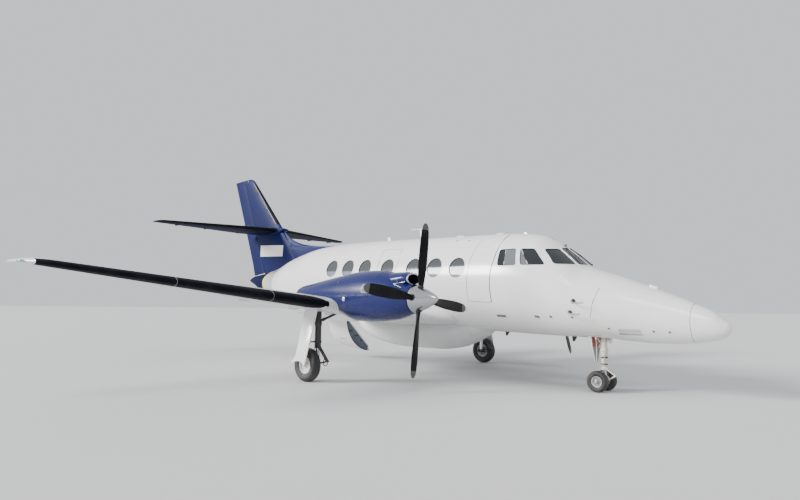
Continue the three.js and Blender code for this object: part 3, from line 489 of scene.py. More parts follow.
def makeRubberGrain():
    group, given, made = newGroup("rubberGrain", [
        ("Vector", "vector", None), ("Scale", "float", 220.0), ("Rubber", "color", (.02, .02, .02, 1)),
        ("Dust", "color", (.18, .17, .16, 1)), ("Dust Amount", "float", .25),
    ], [("Color", "color"), ("Height", "float"), ("Roughness", "float")])
    grain = addNode(group, "ShaderNodeTexNoise",
                    {"Vector": given["Vector"], "Scale": given["Scale"], "Detail": 3.0})
    dust = addNode(group, "ShaderNodeTexNoise",
                   {"Vector": given["Vector"], "Scale": 5.0, "Detail": 6.0})
    share = calc(group, "MULTIPLY", fadeStep(group, dust.outputs[0], .4, .8), given["Dust Amount"],
                 True)
    group.links.new(blendColor(group, share, given["Rubber"], given["Dust"]), made["Color"])
    group.links.new(grain.outputs[0], made["Height"])
    group.links.new(calc(group, "ADD", .5, calc(group, "MULTIPLY", share, 1.2), True),
                    made["Roughness"])
    return group


airDirt, sheetSeams = makeAirDirt(), makeSheetSeams()
wornSpots, rubberGrain = makeWornSpots(), makeRubberGrain()


def objectPlace(tree):
    return addNode(tree, "ShaderNodeTexCoord").outputs["Object"]


def feed(material, **sources):
    names = {"color": "Base Color", "roughness": "Roughness", "normal": "Normal"}
    shader = material.node_tree.nodes["Principled BSDF"]
    for key, source in sources.items():
        material.node_tree.links.new(source, shader.inputs[names[key]])
    return material


def bump(tree, height, strength, distance=.002):
    return addNode(tree, "ShaderNodeBump",
                   {"Height": height, "Strength": strength, "Distance": distance}).outputs[0]


def skinPaint(name, paint, dirt, amount, gloss, spacing=.62, seams=.5, coat=.35, shine=.5):
    # gloss paint over riveted sheet
    material = newMaterial(name,
                           **{"Coat Weight": coat, "Coat Roughness": .16, "Specular IOR Level": shine})
    tree = material.node_tree
    place = objectPlace(tree)
    weathered = useGroup(tree, airDirt, {"Vector": place, "Paint": paint, "Dirt": dirt,
                                         "Amount": amount, "Gloss": gloss})
    sheet = useGroup(tree, sheetSeams, {"Vector": place, "Spacing": spacing})
    station = addNode(tree, "ShaderNodeSeparateXYZ", {0: place}).outputs[0]
    behindNose = calc(tree, "SUBTRACT", 1.0, fadeStep(tree, station, 3.2, 3.6))
    shade = calc(tree, "MULTIPLY", calc(tree, "MULTIPLY", sheet["Line"], seams), behindNose)
    return feed(material, color=blendColor(tree, shade, weathered["Color"], dirt),
                roughness=weathered["Roughness"],
                normal=bump(tree, calc(tree, "MULTIPLY", sheet["Height"], behindNose), .35, .001))


def plainPaint(name, paint, dirt=(.2, .19, .18, 1), amount=.35, gloss=.35, wear=0.0,
               under=(.3, .3, .31, 1), metal=0.0):
    # painted or bare fitting with dirt in patches and worn spots
    material = newMaterial(name)
    tree = material.node_tree
    place = objectPlace(tree)
    weathered = useGroup(tree, airDirt, {"Vector": place, "Paint": paint, "Dirt": dirt,
                                         "Amount": amount, "Gloss": gloss,
                                         "Patch Scale": 4.0, "Streak Scale": 22.0})
    worn = useGroup(tree, wornSpots, {"Vector": place, "Amount": wear})
    share = calc(tree, "MULTIPLY", worn["Mask"], 1.0 if wear else 0.0)
    material.node_tree.nodes["Principled BSDF"].inputs["Metallic"].default_value = metal
    return feed(material, color=blendColor(tree, share, weathered["Color"], under),
                roughness=weathered["Roughness"],
                normal=bump(tree, worn["Height"], .06, .0006))


def rubber(name, tone=(.016, .016, .017, 1), dust=.3, grain=220.0):
    material = newMaterial(name)
    tree = material.node_tree
    made = useGroup(tree, rubberGrain,
                    {"Vector": objectPlace(tree), "Rubber": tone, "Dust Amount": dust, "Scale": grain})
    return feed(material, color=made["Color"], roughness=made["Roughness"],
                normal=bump(tree, made["Height"], .25, .0008))


def bootRubber(name, bothEdges=False):
    # de-icing boot: white line along its upper edge, faint tubes below, from the piece's own band value
    material = newMaterial(name, **{"Specular IOR Level": .06})
    tree = material.node_tree
    made = useGroup(tree, rubberGrain,
                    {"Vector": objectPlace(tree), "Rubber": (.003, .0035, .007, 1), "Dust Amount": .05})
    band = addNode(tree, "ShaderNodeAttribute", attribute_name="band").outputs["Fac"]
    edge = calc(tree, "PINGPONG", band, .5) if bothEdges else band
    tape = calc(tree, "SUBTRACT", 1.0, fadeStep(tree, edge, .02, .028))
    ribs = calc(tree, "SINE", calc(tree, "MULTIPLY", band, 70.0))
    color = blendColor(tree, tape, made["Color"], (.72, .73, .74, 1))
    return feed(material, color=color, roughness=made["Roughness"], normal=bump(tree, ribs, .25, .001))


def polishedMetal(name, tone, gloss=.12, wear=.15):
    material = newMaterial(name, Metallic=1.0)
    tree = material.node_tree
    place = objectPlace(tree)
    rings = addNode(tree, "ShaderNodeVectorMath", {0: place, 1: (60, 1, 1)}, operation="MULTIPLY")
    brushed = addNode(tree, "ShaderNodeTexNoise",
                      {"Vector": rings.outputs[0], "Scale": 6.0, "Detail": 5.0})
    smudged = useGroup(tree, airDirt,
                       {"Vector": place, "Paint": tone, "Dirt": (.3, .29, .27, 1), "Amount": wear,
                        "Gloss": gloss, "Patch Scale": 5.0})
    return feed(material, color=smudged["Color"], roughness=smudged["Roughness"],
                normal=bump(tree, brushed.outputs[0], .05, .0005))


def bladePaint(name, hubY=2.5, hubZ=1.59, tipFrom=1.22):
    # black blade with a grey tip and scuffed leading edge
    material = newMaterial(name, **{"Specular IOR Level": .1})
    tree = material.node_tree
    place = objectPlace(tree)
    parts = addNode(tree, "ShaderNodeSeparateXYZ", {0: place}).outputs
    side = calc(tree, "SUBTRACT", calc(tree, "ABSOLUTE", parts[1]), hubY)
    high = calc(tree, "SUBTRACT", parts[2], hubZ)
    reach = calc(tree, "SQRT", calc(tree, "ADD", calc(tree, "MULTIPLY", side, side),
                                    calc(tree, "MULTIPLY", high, high)))
    tip = fadeStep(tree, reach, tipFrom, tipFrom + .01)
    worn = useGroup(tree, wornSpots, {"Vector": place, "Scale": 24.0, "Amount": .3})
    made = useGroup(tree, airDirt,
                    {"Vector": place, "Paint": (.005, .005, .006, 1), "Dirt": (.04, .04, .04, 1),
                     "Amount": .4, "Gloss": .3, "Patch Scale": 3.0})
    tipped = blendColor(tree, tip, made["Color"], (.1, .105, .1, 1))
    share = calc(tree, "MULTIPLY", worn["Mask"], fadeStep(tree, reach, .5, 1.3))
    return feed(material, color=blendColor(tree, share, tipped, (.3, .3, .3, 1)),
                roughness=made["Roughness"])


def tintedGlass(name, upper, lower=None, level=0.0, sheen=.08, through=0.0):
    # dark glass; where lower is given, its lower part is painted paler: painted light standing in for
    # the lit inside seen through the pane and its reflections
    material = newMaterial(name, **{"Coat Weight": .3, "Coat Roughness": .02,
                                    "Transmission Weight": through, "IOR": 1.45,
                                    "Specular IOR Level": .3})
    tree = material.node_tree
    place = objectPlace(tree)
    parts = addNode(tree, "ShaderNodeSeparateXYZ", {0: place}).outputs
    rise = calc(tree, "ADD", parts[2], calc(tree, "MULTIPLY", parts[0], .031))
    haze = addNode(tree, "ShaderNodeTexNoise", {"Vector": place, "Scale": 3.0, "Detail": 3.0})
    line = calc(tree, "ADD", rise, calc(tree, "MULTIPLY", haze.outputs[0], .03))
    smear = calc(tree, "ADD", sheen, calc(tree, "MULTIPLY", haze.outputs[0], .06))
    if lower is None:
        material.node_tree.nodes["Principled BSDF"].inputs["Base Color"].default_value = upper
        return feed(material, roughness=smear)
    share = fadeStep(tree, line, level - .02, level + .02)
    return feed(material, color=blendColor(tree, share, lower, upper), roughness=smear)


def lens(name, tone, glow=0.0):
    material = newMaterial(name, **{"Transmission Weight": .25, "Coat Weight": 1.0,
                                    "Emission Strength": glow})
    tree = material.node_tree
    ribs = addNode(tree, "ShaderNodeTexNoise",
                   {"Vector": objectPlace(tree), "Scale": 90.0, "Detail": 2.0})
    shade = calc(tree, "ADD", .1, calc(tree, "MULTIPLY", ribs.outputs[0], .12))
    color = blendColor(tree, calc(tree, "MULTIPLY", ribs.outputs[0], .4), tone,
                       (tone[0] * .5, tone[1] * .5, tone[2] * .5, 1))
    return feed(material, color=color, roughness=shade, normal=bump(tree, ribs.outputs[0], .2, .001))


def fabric(name, tone, dark):
    material = newMaterial(name, **{"Sheen Weight": .3})
    tree = material.node_tree
    place = objectPlace(tree)
    weave = addNode(tree, "ShaderNodeTexWave",
                    {"Vector": place, "Scale": 160.0, "Distortion": 1.5, "Detail": 2.0})
    patch = addNode(tree, "ShaderNodeTexNoise", {"Vector": place, "Scale": 9.0, "Detail": 4.0})
    share = calc(tree, "ADD", calc(tree, "MULTIPLY", weave.outputs[1], .35),
                 calc(tree, "MULTIPLY", patch.outputs[0], .4))
    return feed(material, color=blendColor(tree, share, tone, dark),
                roughness=calc(tree, "ADD", .75, share, True),
                normal=bump(tree, weave.outputs[1], .3, .0008))


whitePaint = skinPaint("whitePaint", (.87, .865, .845, 1), (.5, .47, .42, 1), .32, .2)
bluePaint = skinPaint("bluePaint", (.005, .01, .09, 1), (.03, .035, .09, 1), .3, .24, spacing=.9,
                      seams=.25, coat=.25,
                      shine=.3)
finBlue = skinPaint("finBlue", (.006, .011, .075, 1), (.02, .025, .06, 1), .35, .4, spacing=.9,
                    seams=.2, coat=0,
                    shine=.1)
# darker blue: partly the real blue paint, partly painted shade, darker than the fin blue so the
# tailplane undersides look shaded
shadedTailBlue = skinPaint("shadedTailBlue", (.005, .008, .04, 1), (.02, .022, .035, 1), .35, .62, spacing=.9,
                     seams=.1, coat=0,
                     shine=.05)
# pale blue for the line along the dorsal ridge: a painted highlight
dorsalHighlightPaint = plainPaint("dorsalHighlightPaint", (.09, .13, .36, 1), amount=.3, gloss=.25)
tailGrey = skinPaint("tailGrey", (.5, .52, .55, 1), (.36, .35, .34, 1), .4, .22, seams=.3)
stripeYellow = plainPaint("stripeYellow", (.78, .6, .05, 1), amount=.25, gloss=.25)
wingPaint = skinPaint("wingPaint", (.74, .745, .74, 1), (.36, .34, .31, 1), .45, .25, spacing=.5)
wellPaint = plainPaint("wellPaint", (.3, .33, .28, 1), amount=.7, gloss=.6)
doorRed = plainPaint("doorRed", (.42, .06, .035, 1), amount=.5, gloss=.5)
gearCream = plainPaint("gearCream", (.78, .76, .66, 1), amount=.55, gloss=.3, wear=.25)
gearDark = plainPaint("gearDark", (.03, .03, .032, 1), amount=.3, gloss=.45)
rimWhite = plainPaint("rimWhite", (.78, .77, .73, 1), amount=.6, gloss=.35, wear=.3)
boots = bootRubber("boots")
finBoots = bootRubber("finBoots", True)
tyreRubber = rubber("tyreRubber", (.017, .017, .018, 1), .45)
sealRubber = rubber("sealRubber", (.012, .012, .012, 1), .15)
hoseRubber = rubber("hoseRubber", (.01, .01, .01, 1), .2)
spinnerMetal = polishedMetal("spinnerMetal", (.5, .51, .53, 1), .16, .35)
brightSteel = polishedMetal("brightSteel", (.62, .62, .63, 1), .2, .3)
leadingMetal = polishedMetal("leadingMetal", (.8, .81, .83, 1), .22, .3)
sootMetal = plainPaint("sootMetal", (.11, .1, .09, 1), (.02, .02, .02, 1), .9, .5, metal=.8)
fittingGrey = plainPaint("fittingGrey", (.26, .27, .28, 1), amount=.4, gloss=.4, wear=.2,
                         under=(.5, .5, .5, 1))
seamGrey = plainPaint("seamGrey", (.13, .125, .12, 1), amount=.4, gloss=.5)
seamBlue = plainPaint("seamBlue", (.006, .012, .07, 1), amount=.3, gloss=.4)
intakeBlack = plainPaint("intakeBlack", (.008, .008, .009, 1), amount=.2, gloss=.55)
blade = bladePaint("blade")
# cabin glass: the paler colour below the level is painted light, for the lit view through the panes
cabinGlass = tintedGlass("cabinGlass", (.065, .07, .075, 1), (.23, .245, .28, 1), 2.24 + .031 * .685)
cockpitGlass = tintedGlass("cockpitGlass", (.05, .055, .065, 1), sheen=.03, through=.7)
# pale grey opaque glass: painted light, where parts of the side panes look pale with light seen through
# and off them
paintedPaleGlass = tintedGlass("paintedPaleGlass", (.14, .145, .15, 1))
stairGrey = plainPaint("stairGrey", (.1, .125, .17, 1), amount=.5, gloss=.45, wear=.3,
                       under=(.35, .36, .38, 1))
insideGrey = plainPaint("insideGrey", (.16, .16, .17, 1), amount=.3, gloss=.6)
liningPale = plainPaint("liningPale", (.5, .48, .44, 1), amount=.3, gloss=.55)
seatCloth = fabric("seatCloth", (.34, .35, .37, 1), (.1, .1, .12, 1))
carpet = fabric("carpet", (.06, .07, .1, 1), (.025, .03, .05, 1))
redLens = lens("redLens", (.6, .02, .02, 1), .2)
greenLens = lens("greenLens", (.02, .45, .2, 1), .2)
clearLens = lens("clearLens", (.85, .87, .88, 1), .1)
print("materials ready")


# Camera, floor and light
camera = {"place": (9.54, -10.11, 1.45), "heading": 132.8, "pitch": 5.6, "roll": .6, "lens": 26.1}
aim = (Matrix.Rotation(math.radians(camera["heading"] - 90), 4, "Z")
       @ Matrix.Rotation(math.radians(90 + camera["pitch"]), 4, "X")
       @ Matrix.Rotation(math.radians(camera["roll"]), 4, "Z"))
bpy.ops.object.camera_add(location=camera["place"], rotation=aim.to_euler())
bpy.context.object.data.lens = camera["lens"]
bpy.context.scene.camera = bpy.context.object

studio = {"floor": 600, "floorTone": (.6, .6, .6, 1), "worldTone": (.8, .82, .86, 1),
          "worldPower": 1.05,
          "sunPower": 5.4, "sunFrom": (-.46, -.64, .34), "sunSoftness": 18, "fillPower": .8,
          "fillFrom": (.4, -.5, .8)}
bpy.ops.mesh.primitive_plane_add(size=studio["floor"])
floor = bpy.context.object
floor.name = "floor"
floorPaint = newMaterial("floorPaint", Roughness=.85)
floorGrain = addNode(floorPaint.node_tree, "ShaderNodeTexNoise",
                     {"Vector": objectPlace(floorPaint.node_tree), "Scale": .35,
                      "Detail": 6.0})
feed(floorPaint, color=blendColor(floorPaint.node_tree,
                                  calc(floorPaint.node_tree, "MULTIPLY", floorGrain.outputs[0], .12),
                                  studio["floorTone"], (.3, .3, .31, 1)))
floor.data.materials.append(floorPaint)
bpy.context.scene.world = bpy.data.worlds.new("softSky")
bpy.context.scene.world.use_nodes = True
sky = bpy.context.scene.world.node_tree.nodes["Background"].inputs
sky["Color"].default_value = studio["worldTone"]
sky["Strength"].default_value = studio["worldPower"]
for power, source in ((studio["sunPower"], studio["sunFrom"]),
                      (studio["fillPower"], studio["fillFrom"])):
    bpy.ops.object.light_add(type="SUN", rotation=Vector(source).to_track_quat("Z", "Y").to_euler())
    bpy.context.object.data.energy = power
    bpy.context.object.data.angle = math.radians(studio["sunSoftness"])


# Fuselage
fuselage = {
    "sides": 96,
    "rows": [  # station, top, bottom, half width
        (0, 1.178, 1.172, .004), (.003, 1.206, 1.143, .028), (.01, 1.222, 1.121, .05),
        (.025, 1.243, 1.091, .08), (.08, 1.29, 1.031, .136), (.25, 1.426, .971, .236),
        (.56, 1.571, .919, .343),
        (1.1, 1.796, .888, .5), (1.7, 2.022, .915, .68), (2.224, 2.204, .938, .8),
        (2.504, 2.424, .94, .86),
        (2.795, 2.65, .942, .905), (3.1, 2.828, .95, .942), (3.5, 2.911, .96, .97),
        (4, 2.948, .974, .988),
        (5, 2.974, .994, .99), (8.5, 3.052, 1.072, .99), (9.5, 3.013, 1.108, .97),
        (10.5, 2.838, 1.208, .882),
        (11.5, 2.551, 1.57, .6), (12.5, 2.385, 1.89, .35), (13, 2.34, 2.08, .17),
        (13.285, 2.255, 2.175, .05)],
    "radome": .515, "cockpit": 2.205, "cabin": 3.95, "entry": 9.45, "tail": 10.62, "end": 13.285,
    "wall": .055, "bulkhead": .08, "gap": .0003,
}
body = fuselage["rows"]
noseWell = {"from": 1.7, "to": 2.37, "half": .205, "roof": 1.195}


def wellRoom():
    return slab(at(noseWell["to"], -noseWell["half"], .6),
                at(noseWell["from"], noseWell["half"], noseWell["roof"]), 0)


def inWell(middle, normal):
    return (middle.z < noseWell["roof"] + .003 and abs(middle.y) < noseWell["half"] + .002
            and abs(normal.z + .9) > .15
            and at(noseWell["to"], 0, 0).x - .003 < middle.x < at(noseWell["from"], 0, 0).x + .003
            and sidePoint(body, noseX - middle.x, middle.z, 1).y > abs(middle.y) + .012)


noseTip = hull(body, 0, fuselage["radome"], .035, fuselage["sides"], extra=(.003, .01, .05))
fixed(noseTip, "radomeSkin", whitePaint, ["radome"], 50)

noseSkin = hull(body, fuselage["radome"] + fuselage["gap"], fuselage["cockpit"], .07, fuselage["sides"])
carve(noseSkin, [wellRoom()])
fixed(noseSkin, "noseSkin", whitePaint, ["nose_section"])
paintWhere(noseSkin, wellPaint, inWell)

# Cockpit with its panes
cockpit = {
    "floor": 1.3, "sheet": (2.1, 3.9), "corner": .045, "seal": .007, "frame": .02, "frameProud": .004,
    "glassDepth": .008, "glass": .01,
    "sidePanes": {
        "side_window_front": [(3.285, 2.554), (3.029, 2.544), (2.76, 2.228), (3.201, 2.232)],
        "side_window_rear": [(3.696, 2.555), (3.368, 2.562), (3.282, 2.232), (3.667, 2.236)]},
    "frontPanes": {
        "windscreen_corner": [(.56, 2.54), (.302, 2.545), (.356, 2.24), (.69, 2.24)],
        "windscreen_centre": [(.255, 2.56), (.028, 2.592), (.028, 2.246), (.312, 2.24)]},
    "frontReach": {"windscreen_corner": 2.99, "windscreen_centre": 2.86},
    "posts": {"side_window_rear": [(3.572, 2.538), (3.533, 2.253)],
              "side_window_front": [(3.266, 2.533), (3.063, 2.246)]},
}


def paneTool(name, grow, side, corner=None):
    # prism through one pane's opening, larger all round by grow
    radius = max(.008, cockpit["corner"] + grow * .5) if corner is None else corner
    if name in cockpit["sidePanes"]:
        tool = prism(grown(cockpit["sidePanes"][name], grow), "y", .42, 1.1, radius)
    else:
        tool = prism(grown(cockpit["frontPanes"][name], grow), "x", 2.1, cockpit["frontReach"][name],
                     radius)
    if side < 0:
        tool.scale.y = -1
        settle(tool)
    return turnOutwards(tool)


def skinSheet(start, end, step, outer, thickness):
    # open sheet that follows the fuselage, outer metres proud of it
    sheet = hull(body, start, end, step, fuselage["sides"], grow=outer, closeEnds=False)
    startEdit(sheet)
    bpy.ops.mesh.normals_make_consistent(inside=False)
    endEdit()
    return modify(sheet, "SOLIDIFY", thickness=thickness, offset=-1)


def splitPane(pane, line):
    # edge across the pane along a post; what lies aft of it can take another glass
    first, last = (at(s, 0, z) for s, z in line)
    normal = (last - first).cross(Vector((0, 1, 0))).normalized()
    normal = -normal if normal.x > 0 else normal
    startEdit(pane)
    bpy.ops.mesh.bisect(plane_co=first, plane_no=normal)
    endEdit()
    return first, normal


paneNames = [*cockpit["sidePanes"], *cockpit["frontPanes"]]


def allPanes(grow):
    return joined([paneTool(name, grow, side) for name in paneNames for side in (1, -1)])


def paneSheet(outer, thickness):
    return skinSheet(cockpit["sheet"][0], cockpit["sheet"][1], .05, outer, thickness)


def insideSkin(middle, deep):
    # whether a point lies further in from the fuselage side than deep
    return abs(middle.y) < sidePoint(body, noseX - middle.x, middle.z, 1).y - deep


cockpitSkin = hull(body, fuselage["cockpit"] + fuselage["gap"], fuselage["cabin"], .05,
                   fuselage["sides"])
room = hull(body, fuselage["cockpit"] - .01, fuselage["cabin"] + .01, .05, fuselage["sides"],
            grow=-fuselage["wall"])
startEdit(room)
bpy.ops.mesh.bisect(plane_co=(0, 0, cockpit["floor"]), plane_no=(0, 0, 1), use_fill=True,
                    clear_inner=True)
endEdit()
carve(cockpitSkin, [turnOutwards(room), wellRoom()])
carve(cockpitSkin, [allPanes(0)])
fixed(cockpitSkin, "cockpitSkin", whitePaint, ["cockpit_section"])
paintWhere(cockpitSkin, wellPaint, inWell)
paintWhere(cockpitSkin, insideGrey, lambda middle,
           normal: middle.z > cockpit["floor"] - .01 and not inWell(middle, normal)
           and (abs(middle.z - cockpit["floor"]) < .004 or insideSkin(middle, .04)))

for name in paneNames:
    for side, label in ((1, "left"), (-1, "right")):
        pane = paneSheet(-cockpit["glassDepth"], cockpit["glass"])
        carve(pane, [paneTool(name, -.001, side)], "INTERSECT")
        # the rear side pane ahead of its post and the front side pane aft of its post take the pale
        # glass as painted light
        shade = paintedPaleGlass if name == "side_window_rear" else cockpitGlass
        fixed(pane, f"pane.{name}.{label}", shade, [f"{name}_{label}"])
        if name in cockpit["posts"]:
            across = splitPane(pane, cockpit["posts"][name])
            other = cockpitGlass if shade == paintedPaleGlass else paintedPaleGlass
            paintWhere(pane, other, lambda middle, normal: (middle - across[0]).dot(across[1]) > 0)

frames = paneSheet(cockpit["frameProud"], .012)
carve(frames, [allPanes(cockpit["frame"])], "INTERSECT")
carve(frames, [allPanes(.0005)])
fixed(frames, "paneFrames", whitePaint)

seals = paneSheet(.0015, .022)
carve(seals, [allPanes(-.0004)], "INTERSECT")
carve(seals, [allPanes(-cockpit["seal"])])
fixed(seals, "paneSeals", sealRubber)
print("nose and cockpit ready")

# Cabin with seven oval windows a side
cabinWindows = {"stations": [4.595, 5.171, 5.747, 6.509, 7.218, 7.794, 8.37], "level": 2.296,
                "levelAt": 6.5,
                "slope": .031,
                "wide": .385, "tall": .4, "rim": .016, "seal": .007, "depth": .012, "sheet": (4.3, 8.7)}


def windowTools(grow):
    tools = []
    for s in cabinWindows["stations"]:
        z = cabinWindows["level"] + cabinWindows["slope"] * (s - cabinWindows["levelAt"])
        for side in (1, -1):
            tools.append(ovalRod(s, z, cabinWindows["wide"] + 2 * grow, cabinWindows["tall"] + 2 * grow,
                                 .55 * side, 1.1 * side))
    return joined(tools)


def cabinSheet(outer, thickness):
    return skinSheet(cabinWindows["sheet"][0], cabinWindows["sheet"][1], .1, outer, thickness)


cabinSkin = hull(body, fuselage["cabin"] + fuselage["gap"], fuselage["entry"], .1, fuselage["sides"])
inner = hull(body, fuselage["cabin"] + fuselage["bulkhead"], fuselage["entry"] + .01, .1,
             fuselage["sides"],
             grow=-fuselage["wall"])
carve(cabinSkin, [inner, windowTools(0)])
fixed(cabinSkin, "cabinSkin", whitePaint, ["cabin_section"])
paintWhere(cabinSkin, liningPale, lambda middle, normal: insideSkin(middle, .045))

glass = cabinSheet(-cabinWindows["depth"], .006)
carve(glass, [windowTools(-.0006)], "INTERSECT")
fixed(glass, "cabinGlass", cabinGlass)
rims = cabinSheet(.0025, .01)
carve(rims, [windowTools(cabinWindows["rim"])], "INTERSECT")
carve(rims, [windowTools(.0006)])
fixed(rims, "cabinWindowRims", whitePaint)
windowSeals = cabinSheet(.001, .02)
carve(windowSeals, [windowTools(-.0005)], "INTERSECT")
carve(windowSeals, [windowTools(-cabinWindows["seal"])])
fixed(windowSeals, "cabinWindowSeals", sealRubber)
print("cabin ready")

# Entry section with the doorway, and the tail cone
door = {"from": 9.6, "to": 10.46, "sill": 1.332, "head": 2.66, "chamfer": .09, "hingeY": .6,
        "hingeZ": 1.22, "swing": 129,
        "skin": .042, "gap": .006, "floor": 1.4, "sheet": (9.45, 10.65), "corner": .05}


def doorOutline(gap):
    low, high, cut = door["sill"] + gap, door["head"] - gap, door["chamfer"]
    fore, aft = door["from"] + gap, door["to"] - gap
    return [(fore, low), (aft, low), (aft, high - cut), (aft - cut, high), (fore + cut, high),
            (fore, high - cut)]


def doorTool(gap, corner=door["corner"]):
    # prism through the doorway, smaller all round by gap
    return prism(doorOutline(gap), "y", .15, 1.2, corner)


def doorSheet(outer, thickness):
    return skinSheet(door["sheet"][0], door["sheet"][1], .05, outer, thickness)


entrySkin = hull(body, fuselage["entry"] + fuselage["gap"], fuselage["tail"], .06, fuselage["sides"])
vestibule = hull(body, fuselage["entry"] + fuselage["bulkhead"],
                 fuselage["tail"] - fuselage["bulkhead"], .06,
                 fuselage["sides"], grow=-fuselage["wall"])
startEdit(vestibule)
bpy.ops.mesh.bisect(plane_co=(0, 0, door["floor"]), plane_no=(0, 0, 1), use_fill=True, clear_inner=True)
endEdit()
carve(entrySkin, [turnOutwards(vestibule), doorTool(0)])
fixed(entrySkin, "entrySkin", whitePaint, ["entry_section"])
paintWhere(entrySkin, liningPale, lambda middle,
           normal: middle.z > door["floor"] - .01 and insideSkin(middle, .045)
           and fuselage["entry"] + .07 < noseX - middle.x < fuselage["tail"] - .07)

cone = {"grey": 11.225, "yellow": 11.85, "blue": 11.985, "lean": .4, "level": 2.2}


def coneStation(middle):
    # station, counted further aft above the middle so that the bands lean forward at the top
    return noseX - middle.x + cone["lean"] * max(0, middle.z - cone["level"])


tailSkin = hull(body, fuselage["tail"] + fuselage["gap"], fuselage["end"], .08, fuselage["sides"],
                extra=stationsBetween(11.1, 12.02, .02))
fixed(tailSkin, "tailSkin", whitePaint, ["tail_section"], 50)
paintWhere(tailSkin, tailGrey, lambda middle,
           normal: cone["grey"] < coneStation(middle) < cone["yellow"])
paintWhere(tailSkin, stripeYellow, lambda middle,
           normal: cone["yellow"] < coneStation(middle) < cone["blue"])
paintWhere(tailSkin, shadedTailBlue, lambda middle, normal: coneStation(middle) > cone["blue"])
print("entry and tail cone ready")

# Belly pod under the centre fuselage
pod = {"sides": 72, "rows": [
    (4.385, 1.26, 1.1, .03), (4.4, 1.27, .985, .12), (4.48, 1.3, .905, .3), (4.75, 1.32, .76, .45),
    (5.2, 1.32, .6, .545),
    (5.7, 1.32, .541, .57), (6.7, 1.32, .545, .57), (7.44, 1.32, .645, .53), (7.95, 1.32, .85, .4),
    (8.29, 1.3, 1.045, .12)]}
podSkin = hull(pod["rows"], 4.385, 8.29, .08, pod["sides"], extra=(4.4, 4.43))
fixed(podSkin, "bellyPodSkin", wingPaint, ["belly_pod"], 50)

# Wing sections
wing = {
    # y, leading edge station, chord, leading edge z, depth, fall from leading to trailing edge
    "rows": [
        (0, 5.69, 2.19, 1.156, .39, .027), (7.6, 6.318, .857, 1.981, .122, -.019),
        (7.76, 6.4, .77, 1.999, .1, -.017),
        (7.86, 6.64, .52, 2.012, .068, -.012), (7.925, 6.88, .26, 2.022, .03, -.006)],
    "gloveRows": [(.42, 4.79, 1.5, 1.205, .25, 0), (1, 4.96, 1.4, 1.235, .235, 0),
                  (1.5, 5.33, 1.1, 1.3, .215, 0),
                  (2.15, 5.64, .9, 1.385, .2, 0)],
    "camber": .018, "root": .42, "bend": 7.6, "chordPoints": 22, "bootFrom": 3.06, "bootTo": 7.76,
    "bootShares": (.11, .13),
    "flap": (1.18, 4.93), "aileron": (5.0, 7.48), "hinge": .75, "gap": .006, "endGap": .018,
}
tail = {
    "rows": [(0, 11.8, 1.74, 3.67, .192, 0), (3.15, 12.645, .475, 3.67, .066, 0),
             (3.25, 12.74, .35, 3.67, .042, 0),
             (3.3, 12.85, .19, 3.67, .016, 0)],
    "hingeS": 12.93, "elevator": (.112, 3.12), "rootAngle": 32, "gap": .006,
}


def foilRow(rows, y):
    # straight between the rows
    i = next((k for k, row in enumerate(rows) if row[0] > y), len(rows) - 1) - 1
    share = (y - rows[i][0]) / (rows[i + 1][0] - rows[i][0])
    return [low + (high - low) * share for low, high in zip(rows[i][1:], rows[i + 1][1:])]


def halfDepth(x, depth):
    return 5 * depth * (.2969 * math.sqrt(x) - .126 * x - .3516 * x ** 2 + .2843 * x ** 3 - .1015
                        * x ** 4)


def foilPoint(rows, y, x, side, camber=0.0, proud=0.0):
    # side 1 is the upper surface, -1 the lower and 0 the middle
    lead, chord, z, depth, fall = foilRow(rows, y)
    return at(lead + x * chord, y,
              z - x * fall + 4 * camber * x * (1 - x) * chord + side * (halfDepth(x, depth) + proud))


def foilRing(rows, y, points, camber=0.0):
    fractions = [(1 - math.cos(math.pi * k / points)) / 2 for k in range(points + 1)]
    upper = [foilPoint(rows, y, x, 1, camber) for x in reversed(fractions)]
    return upper + [foilPoint(rows, y, x, -1, camber) for x in fractions[1:]]


def foilBody(rows, places, points, camber=0.0):
    return pulledRings([foilRing(rows, y, points, camber) for y in places])


def movingSurface(rows, start, end, hingeAt, camber=0.0, steps=8):
    # rear part of a section with a round nose about its hinge
    rings = []
    for y in stationsBetween(start, end, .4):
        hinge = hingeAt(y)
        middle, top = (foilPoint(rows, y, hinge, side, camber) for side in (0, 1))
        radius = (top - middle).length
        shares = [hinge + (1 - hinge) * k / steps for k in range(steps + 1)]
        turns = [math.pi * (.5 - k / 10) for k in range(1, 10)]
        nose = [Vector((middle.x + radius * math.cos(turn), y, middle.z + radius * math.sin(turn)))
                for turn in turns]
        rings.append([foilPoint(rows, y, x, 1, camber) for x in reversed(shares)] + nose
                     + [foilPoint(rows, y, x, -1, camber) for x in shares])
    return pulledRings(rings)


def surfaceBay(rows, start, end, hingeAt, gap, camber=0.0):
    # room for a moving surface, as a box that follows its hinge
    rings = []
    for y in (start, end):
        middle, top = (foilPoint(rows, y, hingeAt(y), side, camber) for side in (0, 1))
        front, back = middle.x + (top - middle).length + gap, middle.x - 1.2
        rings.append([Vector((front, y, middle.z - .4)), Vector((back, y, middle.z - .4)),
                      Vector((back, y, middle.z + .4)), Vector((front, y, middle.z + .4))])
    return pulledRings(rings)


def leadingBoot(rows, start, end, upperShare, lowerShare, camber=0.0, proud=.0022, point=.0, steps=18):
    # rubber strip wrapped round the leading edge, with its band value from edge to edge
    # its inboard end is pointed
    rings = []
    for y in sorted({*stationsBetween(start, end, .12),
                     *(row[0] for row in rows if start < row[0] < end)}):
        narrow = min(1, .12 + .88 * (y - start) / point) if point else 1
        shares = [upperShare * narrow * (1 - k / steps) ** 2 for k in range(steps)]
        rings.append([foilPoint(rows, y, x, 1, camber, proud) for x in shares]
                     + [foilPoint(rows, y, 0, 0, camber) + Vector((proud, 0, 0))]
                     + [foilPoint(rows, y, lowerShare * narrow * (k / steps) ** 2, -1, camber, proud)
                        for k in range(1, steps + 1)])
    return bandedSheet(rings, proud)


